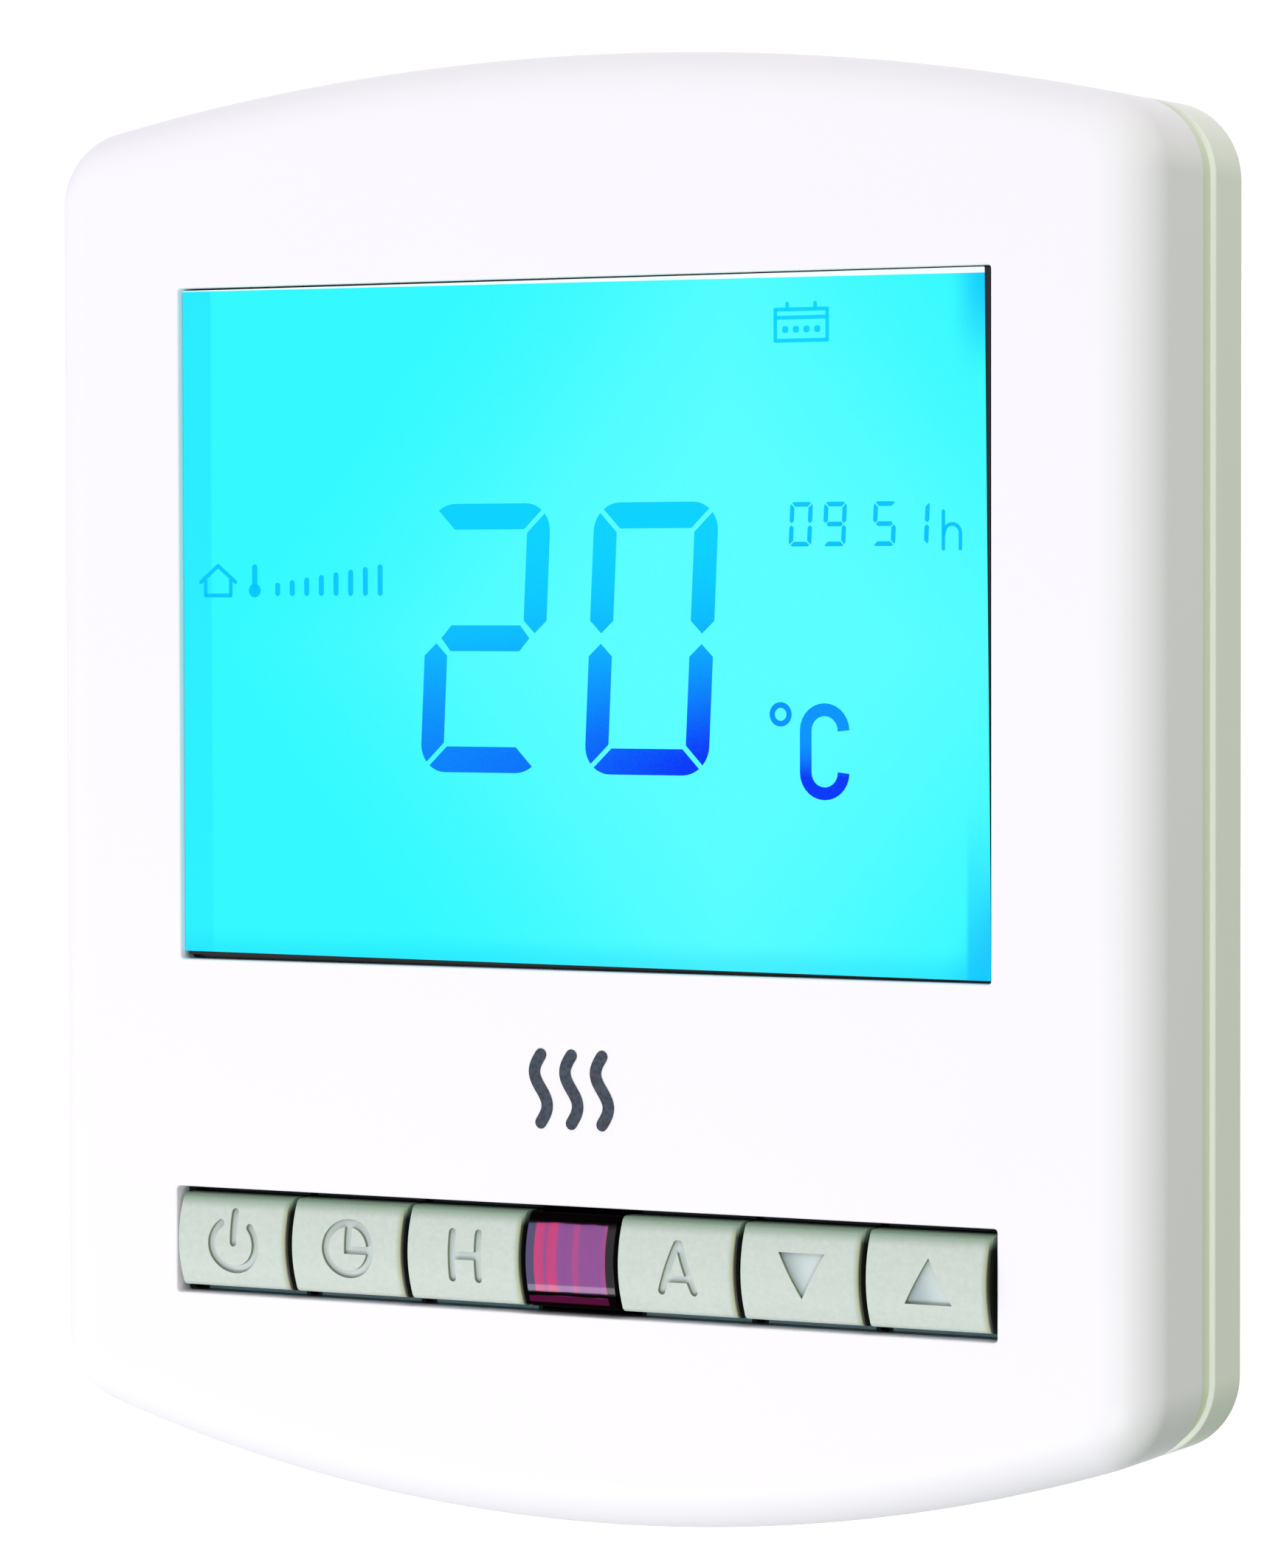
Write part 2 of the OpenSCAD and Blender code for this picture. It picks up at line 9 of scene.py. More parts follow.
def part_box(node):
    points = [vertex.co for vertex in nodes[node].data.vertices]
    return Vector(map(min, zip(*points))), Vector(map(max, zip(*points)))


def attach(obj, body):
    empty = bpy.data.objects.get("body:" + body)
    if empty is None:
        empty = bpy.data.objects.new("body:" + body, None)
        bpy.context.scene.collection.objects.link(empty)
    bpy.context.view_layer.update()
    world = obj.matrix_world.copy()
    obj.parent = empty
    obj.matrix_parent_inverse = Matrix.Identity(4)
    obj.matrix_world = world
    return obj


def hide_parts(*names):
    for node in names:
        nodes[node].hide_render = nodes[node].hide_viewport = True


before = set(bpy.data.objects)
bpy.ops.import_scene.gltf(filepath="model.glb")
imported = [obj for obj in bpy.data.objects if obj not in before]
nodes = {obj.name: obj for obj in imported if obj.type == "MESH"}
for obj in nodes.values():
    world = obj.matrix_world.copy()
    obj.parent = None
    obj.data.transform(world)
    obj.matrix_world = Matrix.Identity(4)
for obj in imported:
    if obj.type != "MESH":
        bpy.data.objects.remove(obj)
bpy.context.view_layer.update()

# A wall-mounted heating timer. X runs across the front, Z up, and the front faces -Y.
# Sizes below are in millimetres unless a name says otherwise, and the model is in metres.
MM = 0.001


def span(node):
    """Lowest and highest corner of a CAD node, in millimetres."""
    low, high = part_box(node)
    return low / MM, high / MM


def middle(node):
    """Middle of a CAD node's box, in millimetres."""
    low, high = span(node)
    return (low + high) / 2


# ---------------------------------------------------------------- sizes

# Case
shell_low, shell_high = span("front_cover")
plate_low, plate_high = span("back_cover")
body_w = shell_high.x - shell_low.x
body_h = shell_high.z - shell_low.z
front_y = shell_low.y
top_rise = 5
bottom_drop = 7.5
corner_r = 5.5
edge_r = 3.6
wall = 2
face_t = 1.7
face_inside = front_y + face_t
ledge_y = -4.8
seam_y = -6.8
seam_gap = 0.15
groove_in = 0.35
lip_in = 2.3
lip_t = 1.5
lip_y = seam_y - 1.8
plate_t = 1.8

# Outline of the case: crowned top and bottom, straight sides, round corners
top_r = ((body_w / 2) ** 2 + top_rise**2) / (2 * top_rise)
bottom_r = ((body_w / 2) ** 2 + bottom_drop**2) / (2 * bottom_drop)
top_centre = body_h / 2 - top_r
bottom_centre = bottom_r - body_h / 2
corner_x = body_w / 2 - corner_r
top_corner_z = top_centre + sqrt((top_r - corner_r) ** 2 - corner_x**2)
bottom_corner_z = bottom_centre - sqrt((bottom_r - corner_r) ** 2 - corner_x**2)
top_turn = atan2(corner_x, top_corner_z - top_centre)
bottom_turn = atan2(corner_x, bottom_centre - bottom_corner_z)

# Openings in the front
display_w = 63.5
display_h = 47.8
display_z = middle("display_polariser").z
keys_w = 64.4
keys_h = 7.6
opening_r = 0.25
opening_edge = 0.14
key_names = ["power", "clock", "heat", "auto", "down", "up"]
key_x = [middle(name + "_key").x for name in key_names]
keys_z = middle("power_key").z
key_w = span("power_key")[1].x - span("power_key")[0].x
key_h = 6.6
key_top_y = span("power_key")[0].y
crown_r = 6.8
flange_t = 0.8
flange_h = 8.6
flange_y = face_inside + 1.3
window_low, window_high = span("infrared_window")

# ---------------------------------------------------------------- modelling by hand


def deselect():
    bpy.ops.object.select_all(action="DESELECT")


def take(obj):
    """Makes an object the only one in hand."""
    deselect()
    obj.select_set(True)
    bpy.context.view_layer.objects.active = obj


@contextmanager
def editing(obj, what="VERT"):
    """Edit mode on one object, with vertices, edges or faces to select."""
    take(obj)
    bpy.ops.object.mode_set(mode="EDIT")
    bpy.ops.mesh.select_mode(type=what)
    yield
    bpy.ops.object.mode_set(mode="OBJECT")


def choose(obj, kind, test):
    """Selects only the verts, edges or faces that pass a test, in edit mode."""
    bpy.ops.mesh.select_all(action="DESELECT")
    mesh = bmesh.from_edit_mesh(obj.data)
    for element in getattr(mesh, kind):
        if test(element):
            element.select_set(True)
    mesh.select_flush_mode()
    bmesh.update_edit_mesh(obj.data)


def settle(obj):
    """Applies an object's place, turn and size to its mesh."""
    take(obj)
    bpy.ops.object.transform_apply(location=True, rotation=True, scale=True)
    return obj


def started():
    """The primitive that was just added."""
    return bpy.context.view_layer.objects.active


def draw(points):
    """A wire drawn from point to point, each one extruded from the last."""
    deselect()
    first = Vector(points[0]) * MM
    bpy.ops.mesh.primitive_plane_add(size=MM, location=first)
    wire = started()
    with editing(wire):
        bpy.ops.mesh.select_all(action="SELECT")
        bpy.ops.mesh.merge(type="CENTER")
        for start, end in zip(points, points[1:]):
            step = (Vector(end) - Vector(start)) * MM
            bpy.ops.mesh.extrude_vertices_move(TRANSFORM_OT_translate={"value": step})
    return settle(wire)


def fill(wire):
    """Closes a wire and makes it one flat face."""
    with editing(wire):
        bpy.ops.mesh.select_all(action="SELECT")
        bpy.ops.mesh.edge_face_add()


def push(obj, step):
    """Extrudes all of a flat face by a step in millimetres, into a solid."""
    with editing(obj, "FACE"):
        bpy.ops.mesh.select_all(action="SELECT")
        bpy.ops.mesh.extrude_region_move(TRANSFORM_OT_translate={"value": Vector(step) * MM})
        bpy.ops.mesh.select_all(action="SELECT")
        bpy.ops.mesh.normals_make_consistent(inside=False)
    return obj


def slab(outline, y0, y1):
    """A solid with an outline in X and Z, from y0 to y1."""
    solid = draw([(x, y0, z) for x, z in outline])
    fill(solid)
    return push(solid, (0, y1 - y0, 0))


def bar(section, x0, x1):
    """A solid with a section in Y and Z, from x0 to x1."""
    solid = draw([(x0, y, z) for y, z in section])
    fill(solid)
    return push(solid, (x1 - x0, 0, 0))


def block(low, high):
    """A box from its lowest to its highest corner."""
    deselect()
    low, high = Vector(low), Vector(high)
    bpy.ops.mesh.primitive_cube_add(size=MM, location=(low + high) / 2 * MM, scale=high - low)
    return settle(started())


def rod(x, z, y0, y1, d, sides=32):
    """A round rod along Y."""
    deselect()
    bpy.ops.mesh.primitive_cylinder_add(
        vertices=sides,
        radius=d / 2 * MM,
        depth=(y1 - y0) * MM,
        location=(x * MM, (y0 + y1) / 2 * MM, z * MM),
        rotation=(pi / 2, 0, 0),
    )
    return settle(started())


def pin(x, y, z0, z1, d, sides=32):
    """A round rod along Z."""
    deselect()
    bpy.ops.mesh.primitive_cylinder_add(
        vertices=sides,
        radius=d / 2 * MM,
        depth=(z1 - z0) * MM,
        location=(x * MM, y * MM, (z0 + z1) / 2 * MM),
    )
    return settle(started())


def modify(obj, kind, **settings):
    """Adds a modifier, sets it and applies it."""
    take(obj)
    modifier = obj.modifiers.new(kind.lower(), kind)
    for key, value in settings.items():
        setattr(modifier, key, value)
    bpy.ops.object.modifier_apply(modifier=modifier.name)
    return obj


def gather(pieces):
    """Joins several solids into one object."""
    take(pieces[0])
    for piece in pieces[1:]:
        piece.select_set(True)
    bpy.ops.object.join()
    return pieces[0]


def combine(obj, tools, operation):
    """Cuts or fuses a solid with others that don't touch each other; they are used up."""
    tool = gather(list(tools))
    small = len(obj.data.vertices) < 3000
    modify(obj, "BOOLEAN", object=tool, operation=operation, solver="EXACT", use_self=small)
    bpy.data.objects.remove(tool)
    return obj


def cut(obj, *tools):
    return combine(obj, tools, "DIFFERENCE")


def fuse(obj, *tools):
    return combine(obj, tools, "UNION")


def soften(obj, width, segments=3, angle=30):
    """Rounds every edge that is sharper than an angle."""
    return modify(
        obj,
        "BEVEL",
        width=width * MM,
        segments=segments,
        limit_method="ANGLE",
        angle_limit=radians(angle),
        use_clamp_overlap=True,
    )


def smooth(obj, angle=40):
    """Shades a piece smooth up to an angle, with flat faces kept flat."""
    take(obj)
    bpy.ops.object.shade_smooth_by_angle(angle=radians(angle))
    return modify(obj, "WEIGHTED_NORMAL", keep_sharp=True, weight=100)


def copy(obj):
    """A copy with its own mesh."""
    twin = obj.copy()
    twin.data = obj.data.copy()
    bpy.context.scene.collection.objects.link(twin)
    return twin


def slide(obj, x=0, y=0, z=0):
    """Moves a finished solid, in millimetres."""
    obj.location = Vector((x, y, z)) * MM
    return settle(obj)


def turn(cx, cy, r, start, end, steps=8):
    """Arc in a plane from a start to an end angle in degrees, ends included."""
    angles = [radians(start + (end - start) * i / steps) for i in range(steps + 1)]
    return [(cx + r * cos(a), cy + r * sin(a)) for a in angles]


def round_box(w, h, r, cx=0, cz=0, steps=5):
    """Outline of a rectangle with round corners about a middle point."""
    x, z = w / 2 - r, h / 2 - r
    corners = [(x, z, 0), (-x, z, 90), (-x, -z, 180), (x, -z, 270)]
    return [p for px, pz, a in corners for p in turn(cx + px, cz + pz, r, a, a + 90, steps)]


# ---------------------------------------------------------------- finishes


def paint(red, green, blue):
    """A colour given as 0 to 255 display values, made linear."""
    values = [v / 255 for v in (red, green, blue)]
    return tuple(v / 12.92 if v <= 0.04045 else ((v + 0.055) / 1.055) ** 2.4 for v in values)


def sum_of(operation, flip=False):
    """A method that adds one Math node, with its two sides in order or reflected."""

    def method(self, other):
        sides = {0: other, 1: self} if flip else {0: self, 1: other}
        return self.finish.node("ShaderNodeMath", {"operation": operation}, sides)

    return method


class Value:
    """A shader socket that takes part in sums."""

    def __init__(self, finish, socket):
        self.finish = finish
        self.socket = socket

    __add__ = sum_of("ADD")
    __radd__ = sum_of("ADD", True)
    __sub__ = sum_of("SUBTRACT")
    __rsub__ = sum_of("SUBTRACT", True)
    __mul__ = sum_of("MULTIPLY")
    __truediv__ = sum_of("DIVIDE")
    __pow__ = sum_of("POWER")
    __gt__ = sum_of("GREATER_THAN")
    __lt__ = sum_of("LESS_THAN")

    def __abs__(self):
        return self.finish.node("ShaderNodeMath", {"operation": "ABSOLUTE"}, {0: self})


class Nodes:
    """A tree of shader nodes."""

    def __init__(self, tree):
        self.tree = tree

    def feed(self, socket, value):
        """Links a value to a socket, or sets it there."""
        if isinstance(value, Value):
            self.tree.links.new(value.socket, socket)
        elif isinstance(value, tuple) and len(value) == 3 and socket.type == "RGBA":
            socket.default_value = (*value, 1)
        else:
            socket.default_value = value

    def node(self, kind, settings=None, sockets=None, out=0):
        """Adds any node: its settings come first, then its sockets' values or links."""
        made = self.tree.nodes.new(kind)
        for key, value in (settings or {}).items():
            if key == "stops":
                self.set_stops(made.color_ramp, value)
            else:
                setattr(made, key, value)
        for socket, value in (sockets or {}).items():
            self.feed(made.inputs[socket], value)
        return Value(self, made.outputs[out]) if out is not None else None

    def set_stops(self, ramp, stops):
        while len(ramp.elements) < len(stops):
            ramp.elements.new(1)
        for element, (position, colour) in zip(ramp.elements, stops):
            element.position = position
            element.color = (*colour, 1)

    def split(self, place):
        """The three parts of a vector."""
        return [self.node("ShaderNodeSeparateXYZ", {}, {0: place}, out=axis) for axis in "XYZ"]

    def off_line(self, value, pitch):
        """Distance from the nearest of many lines a pitch apart."""
        return self.node("ShaderNodeMath", {"operation": "PINGPONG"}, {0: value, 1: pitch / 2})

    def from_axis(self, a, b, first, second):
        """Distance of a point from an axis, measured along two directions."""
        return ((first - a) ** 2.0 + (second - b) ** 2.0) ** 0.5

    def mix(self, factor, first, second, blend="MIX"):
        """A colour between two others, which goes from the first to the second."""
        settings = {"data_type": "RGBA", "blend_type": blend}
        return self.node("ShaderNodeMix", settings, {0: factor, 6: first, 7: second}, out=2)

    def between(self, value, low, high, start=0.0, end=1.0):
        """start below low, end above high, and smooth in between."""
        settings = {"interpolation_type": "SMOOTHSTEP"}
        sockets = {0: value, 1: low, 2: high, 3: start, 4: end}
        return self.node("ShaderNodeMapRange", settings, sockets)

    def ramp(self, value, stops):
        return self.node("ShaderNodeValToRGB", {"stops": stops}, {0: value})


class Finish(Nodes):
    """A material, with places on the piece in millimetres."""

    def __init__(self, name, colour, roughness, **sockets):
        self.material = bpy.data.materials.new(name)
        self.material.use_nodes = True
        super().__init__(self.material.node_tree)
        self.shader = self.tree.nodes["Principled BSDF"]
        self.set("Base Color", colour)
        self.set("Roughness", roughness)
        for socket, value in sockets.items():
            self.set(socket.replace("_", " "), value)
        where = self.node("ShaderNodeTexCoord", out="Object")
        scaled = {0: where, "Scale": 1 / MM}
        self.place = self.node("ShaderNodeVectorMath", {"operation": "SCALE"}, scaled)
        self.x, self.y, self.z = self.split(self.place)

    def set(self, socket, value):
        self.feed(self.shader.inputs[socket], value)

    def noise(self, scale, detail=2.0, roughness=0.5, stretch=(1, 1, 1), out=0):
        """Noise with this many features per millimetre, about 0.5."""
        place = self.place
        if stretch != (1, 1, 1):
            place = self.node("ShaderNodeVectorMath", {"operation": "MULTIPLY"}, {0: place, 1: stretch})
        sockets = {"Vector": place, "Scale": scale, "Detail": detail, "Roughness": roughness}
        return self.node("ShaderNodeTexNoise", {}, sockets, out)

    def cells(self, scale, out="Distance", feature="F1"):
        """Voronoi cells with this many per millimetre."""
        sockets = {"Vector": self.place, "Scale": scale}
        return self.node("ShaderNodeTexVoronoi", {"feature": feature}, sockets, out)

    def offset_in_key(self):
        """How far a point lies from the middle of the nearest key, along the row."""
        pitch = key_x[1] - key_x[0]
        steps = (abs(self.x) - key_x[3]) / pitch
        nearest = self.node("ShaderNodeMath", {"operation": "ROUND"}, {0: steps})
        return abs(self.x) - (nearest * pitch + key_x[3])

    def bump(self, height, depth):
        """Relief of a depth in millimetres where height goes from 0 to 1."""
        sockets = {"Height": height, "Distance": depth * MM, "Strength": 1.0}
        self.set("Normal", self.node("ShaderNodeBump", {}, sockets))


def moulded(name, colour, roughness=0.45, grain=5.0, depth=0.008, drift=0.04, **sockets):
    """Moulded plastic with a spark-eroded grain and a faint drift of colour."""
    finish = Finish(name, colour, roughness, **sockets)
    grains = finish.noise(grain, detail=3, roughness=0.6)
    drifting = finish.noise(0.06, detail=2)
    darker = tuple(v * (1 - drift) for v in colour)
    finish.set("Base Color", finish.mix(drifting, darker, colour))
    finish.set("Roughness", grains * 0.16 + (roughness - 0.08))
    finish.bump(grains, depth)
    return finish


# ---------------------------------------------------------------- case


def sweep_case(section):
    """Carries a wall section, given as (inset, y), round the case's whole outline."""
    wire = draw([(0, y, body_h / 2 - inset) for inset, y in section])
    arc_steps, corner_steps = 26, 18

    def swing(x, z, angle, steps):
        centre = (x * MM, 0, z * MM)
        bpy.ops.mesh.spin(steps=steps, angle=-angle, center=centre, axis=(0, 1, 0))

    with editing(wire, "EDGE"):
        bpy.ops.mesh.select_all(action="SELECT")
        swing(0, top_centre, top_turn, arc_steps)
        swing(corner_x, top_corner_z, pi / 2 - top_turn, corner_steps)
        drop = Vector((0, 0, bottom_corner_z - top_corner_z)) * MM
        bpy.ops.mesh.extrude_region_move(TRANSFORM_OT_translate={"value": drop})
        swing(corner_x, bottom_corner_z, pi / 2 - bottom_turn, corner_steps)
        swing(0, bottom_centre, bottom_turn, arc_steps)
    modify(wire, "MIRROR", merge_threshold=0.01 * MM, use_clip=True)
    for y in (section[0][1], section[-1][1]):
        with editing(wire, "EDGE"):
            choose(wire, "edges", lambda e: e.is_boundary and on_plane(e, y))
            bpy.ops.mesh.edge_face_add()
    with editing(wire, "FACE"):
        bpy.ops.mesh.select_all(action="SELECT")
        bpy.ops.mesh.remove_doubles(threshold=0.002 * MM)
        bpy.ops.mesh.normals_make_consistent(inside=False)
    return wire


def on_plane(edge, y):
    return all(abs(v.co.y - y * MM) < 0.01 * MM for v in edge.verts)


def corner(cx, cy, r, start, end, steps=6):
    """Rounded corner of a wall section; 0 points out of the case and 90 to the front."""
    return [(cx - dx, cy - dy) for dx, dy in turn(0, 0, r, start, end, steps)]


def front_section():
    """Front half's wall, from the inner face round the rear rim to the outer face."""
    inner_r = edge_r - face_t
    rim_r = 0.2
    inner = corner(wall + inner_r, face_inside + inner_r, inner_r, 90, 0)
    rim_in = [(wall, seam_y - rim_r), (wall - rim_r, seam_y)]
    rim_out = corner(rim_r, seam_y - rim_r, rim_r, -90, 0, 4)
    outer = corner(edge_r, front_y + edge_r, edge_r, 0, 90, 16)
    flat = 0.5
    first = (wall + inner_r + flat, face_inside)
    last = (edge_r + flat, front_y)
    return [first] + inner + rim_in + rim_out + outer + [last]


# Posts for the control board, hooks at the top and the retaining screw at the bottom
control_posts = [(-20, 41.6), (20, 41.6), (-33.5, -20.5), (33.5, -20.5), (-22, -40.8), (22, -40.8)]
board_low, board_high = span("control_board")
post_d = 4.8
pilot_d = 1.9
hook_x = 10
hook_w = 8
hook_t = 1.2
hook_top = body_h / 2 - 3.5
hook_arm = body_h / 2 - 6.5
hook_front = seam_y + 2.8
screw_y = seam_y - 4.4
screw_seat = 1.2 - body_h / 2
screw_hole_d = 2.8
screw_head_d = 5
boss_w = 6.4


def cover_hook(x):
    """Arm that reaches back under the wall plate's lip and turns up behind it."""
    web_y = seam_y - 4.85
    section = [
        (web_y, hook_arm),
        (hook_front + hook_t, hook_arm),
        (hook_front + hook_t, hook_top),
        (hook_front, hook_top),
        (hook_front, hook_arm + 1.5),
        (web_y + 2, hook_arm + 1.5),
        (web_y + 2, body_h / 2 - 1.5),
        (web_y, body_h / 2 - 1.5),
    ]
    return soften(bar(section, x - hook_w / 2, x + hook_w / 2), 0.3, 2)


def cover_openings():
    """Tools for the openings in the face and the screw hole in the bottom edge."""
    display = round_box(display_w, display_h, opening_r, 0, display_z)
    keys = round_box(keys_w, keys_h, opening_r, 0, keys_z)
    return [
        slab(display, front_y - 1, face_inside + 1),
        slab(keys, front_y - 1, face_inside + 1),
        pin(0, screw_y, -body_h / 2 - 1, 4 - body_h / 2, screw_hole_d),
    ]


def on_opening_rim(edge):
    """An edge of the display or key opening in the front face."""
    if not on_plane(edge, front_y):
        return False
    ends = [v.co / MM for v in edge.verts]
    return in_opening(ends, display_w, display_h, display_z) or in_opening(ends, keys_w, keys_h, keys_z)


def in_opening(points, w, h, mid_z):
    """Whether all points lie in an opening or on its rim."""
    return all(abs(p.x) < w / 2 + 0.1 and abs(p.z - mid_z) < h / 2 + 0.1 for p in points)


def cover_shell():
    """White front half: crowned shell with its openings, posts, hooks and screw boss."""
    shell = sweep_case(front_section())
    posts = [rod(x, z, face_inside - 0.5, board_low.y, post_d) for x, z in control_posts]
    hooks = [cover_hook(side * hook_x) for side in (-1, 1)]
    low = (-boss_w / 2, screw_y - 2, 1.4 - body_h / 2)
    boss = block(low, (boss_w / 2, screw_y + 1.9, 3 - body_h / 2))
    fuse(shell, *posts, *hooks, soften(boss, 0.3, 2))
    pilots = [rod(x, z, face_inside + 1, board_low.y + 1, pilot_d, 24) for x, z in control_posts]
    cut(shell, *cover_openings(), *pilots)
    cut(shell, pin(0, screw_y, screw_seat - 3, screw_seat, screw_head_d))
    bevel_edges(shell, on_opening_rim, opening_edge, 3)
    return smooth(shell)


# ---------------------------------------------------------------- wall plate

power_low, power_high = span("power_board")
power_posts = [(-21, 1), (21, 1), (-21, 25), (21, 25)]
rear_w = 52
rear_d = plate_high.y
rear_lo = -14
rear_hi = 30
rear_wall = 1.8
rear_corner = 3
vent_w = 1.6
vent_len = 15.6
vent_pitch = 4
fixing_x = 60.3 / 2
fixing_w = 7
fixing_h = 4.2
cable_w = 36
cable_h = 11
cable_z = -24.5
power_post_d = 5
tab_w = 10
tab_lo = 3.6 - body_h / 2


def plate_section():
    """Wall plate's edge: lip, shoulder, groove along the seam and visible side."""
    lip_out = lip_in + lip_t
    inside = corner(lip_out + 0.3, -plate_t - 0.3, 0.3, -90, 0, 3)
    bevel = 0.15
    lip = [(lip_out, lip_y + bevel), (lip_out - bevel, lip_y)]
    lip += [(lip_in + bevel, lip_y), (lip_in, lip_y + bevel)]
    shoulder_y = seam_y + seam_gap
    shoulder = [(lip_in, shoulder_y)] + corner(groove_in + 0.1, shoulder_y + 0.1, 0.1, 90, 0, 3)
    ledge = [(groove_in, ledge_y)] + corner(0.2, ledge_y + 0.2, 0.2, 90, 0, 4)
    back = corner(0.3, -0.3, 0.3, 0, -90, 4)
    return [(lip_out + 0.8, -plate_t)] + inside + lip + shoulder + ledge + back + [(0.9, 0)]


def stadium(w, h, cx=0, cz=0, steps=8):
    """Outline of a slot with round ends."""
    return round_box(w, h, min(w, h) / 2 - 0.001, cx, cz, steps)


def rear_outline(inset, r):
    mid = (rear_lo + rear_hi) / 2
    return round_box(rear_w - 2 * inset, rear_hi - rear_lo - 2 * inset, r, 0, mid)


def rear_box():
    """Box that reaches into the wall, with its rear edges rounded."""
    box = slab(rear_outline(0, rear_corner), -plate_t / 2, rear_d)
    with editing(box, "EDGE"):
        choose(box, "edges", lambda e: on_plane(e, rear_d))
        bpy.ops.mesh.bevel(offset=0.8 * MM, segments=4, affect="EDGES", clamp_overlap=True)
    return box


def plate_tools():
    """Tools that cut the wall plate: inside of the box, vents, slots and windows."""
    inside = slab(rear_outline(rear_wall, rear_corner - rear_wall), -plate_t - 1, rear_d - rear_wall)
    mid = (rear_lo + rear_hi) / 2
    back = rear_d - rear_wall - 1
    vent_x = [i * vent_pitch for i in range(-3, 4)]
    vents = [slab(stadium(vent_w, vent_len, x, mid), back, rear_d + 1) for x in vent_x]
    fixings = [slab(stadium(fixing_w, fixing_h, x, 0), -plate_t - 1, 1) for x in (-fixing_x, fixing_x)]
    windows = []
    for side in (-1, 1):
        x, half = side * hook_x, hook_w / 2 + 1
        low = (x - half, seam_y, hook_arm - 0.5)
        windows.append(block(low, (x + half, -plate_t, body_h / 2 - 1.8)))
    cable = slab(round_box(cable_w, cable_h, 1, 0, cable_z), -plate_t - 1, 1)
    return [inside] + vents + fixings + windows + [cable]


def plate_shell():
    """White wall plate with its rear box, posts and retaining tab."""
    plate = sweep_case(plate_section())
    fuse(plate, rear_box())
    cut(plate, *plate_tools())
    posts = [rod(x, z, power_high.y, rear_d - 1, power_post_d) for x, z in power_posts]
    tab = block((-tab_w / 2, seam_y - 5.7, tab_lo), (tab_w / 2, seam_y, tab_lo + 1.8))
    fuse(plate, *posts, soften(tab, 0.3, 2))
    cut(plate, *[rod(x, z, power_high.y - 1, rear_d - 3, pilot_d, 24) for x, z in power_posts])
    return smooth(plate)


# ---------------------------------------------------------------- display

film_low, film_high = span("display_polariser")
film_y = film_low.y
ink_t = 0.02
stroke_t = 1.8
digit_w = 9.6
digit_h = 18.7
digit_z = 10.65
digit_lean = 0.047


def display_film():
    """Satin film over the glass. It sits a little askew, so the gap round it tapers."""
    low_z, high_z = display_z - display_h / 2, display_z + display_h / 2
    left, right = -display_w / 2 + 0.12, display_w / 2
    outline = [(right - 0.7, high_z - 0.1), (right - 0.22, low_z + 0.2)]
    outline += [(left, low_z + 0.55), (left, high_z - 0.15)]
    return smooth(soften(slab(outline, film_y, film_high.y), 0.05, 2))


def segment_shapes(w, h, t, gap, r):
    """Outlines of the seven segments of a digit about its middle, named a to g."""
    a, b = w / 2, h / 2
    slit = gap / sqrt(2)
    turn_off = gap / 2 / r * 180 / pi
    top = turn(a - r, b - r, r, 45 + turn_off, 90, 4)
    top_half = [(a - t - slit, b - t)] + top
    bar_a = top_half + [(-x, z) for x, z in reversed(top_half)]
    tip = 0.2 * t
    side = [(a - t, b - t - slit)] + turn(a - r, b - r, r, 45 - turn_off, 0, 4)
    side += [(a, 0.68 * t), (a - t / 2, tip), (a - t, 0.68 * t)]
    flat = a - 1.15 * t
    point = a - 0.72 * t
    bar_g = [(point, 0), (flat, t / 2), (-flat, t / 2), (-point, 0), (-flat, -t / 2), (flat, -t / 2)]
    flip_z = [(x, -z) for x, z in side]
    return {
        "a": bar_a,
        "b": side,
        "c": flip_z,
        "d": [(x, -z) for x, z in bar_a],
        "e": [(-x, z) for x, z in flip_z],
        "f": [(-x, z) for x, z in side],
        "g": bar_g,
    }


lit_segments = {0: "abcdef", 1: "bc", 2: "abged", 5: "afgcd", 9: "abcdfg"}


def digit(number, cx, cz, w, h, t, gap, r):
    """One leaning seven-segment digit, as a list of thin solids."""
    shapes = segment_shapes(w, h, t, gap, r)
    lit = [shapes[name] for name in lit_segments[number]]
    placed = [[(cx + x + z * digit_lean, cz + z) for x, z in shape] for shape in lit]
    return [slab(shape, film_y - ink_t, film_y) for shape in placed]


def ribbon(path, width):
    """Outline of a line of some width along a path, with round ends."""
    left, right = [], []
    for i, (x, z) in enumerate(path):
        (ax, az), (bx, bz) = path[max(i - 1, 0)], path[min(i + 1, len(path) - 1)]
        scale = width / 2 / hypot(bx - ax, bz - az)
        nx, nz = (az - bz) * scale, (bx - ax) * scale
        left.append((x + nx, z + nz))
        right.append((x - nx, z - nz))
    ends = []
    for (lx, lz), (cx, cz) in ((left[-1], path[-1]), (right[0], path[0])):
        start = atan2(lz - cz, lx - cx) * 180 / pi
        ends.append(turn(cx, cz, width / 2, start, start - 180, 6)[1:-1])
    return left + ends[0] + right[::-1] + ends[1]


def ink(outline):
    """A thin shape on the display's film."""
    return slab(outline, film_y - ink_t, film_y)


def hoop(cx, cz, outer, inner, y0, y1, steps=40):
    """A flat ring, as two half rings that meet."""
    halves = []
    for start in (0, 180):
        halves.append(slab(arc_band(cx, cz, outer, inner, start, start + 180, steps // 2), y0, y1))
    return halves


def big_digits():
    """Room temperature in two large digits."""
    sizes = (digit_w, digit_h, stroke_t, 0.36, 2.0)
    return gather(digit(2, -6.96, digit_z, *sizes) + digit(0, 6.07, digit_z, *sizes))


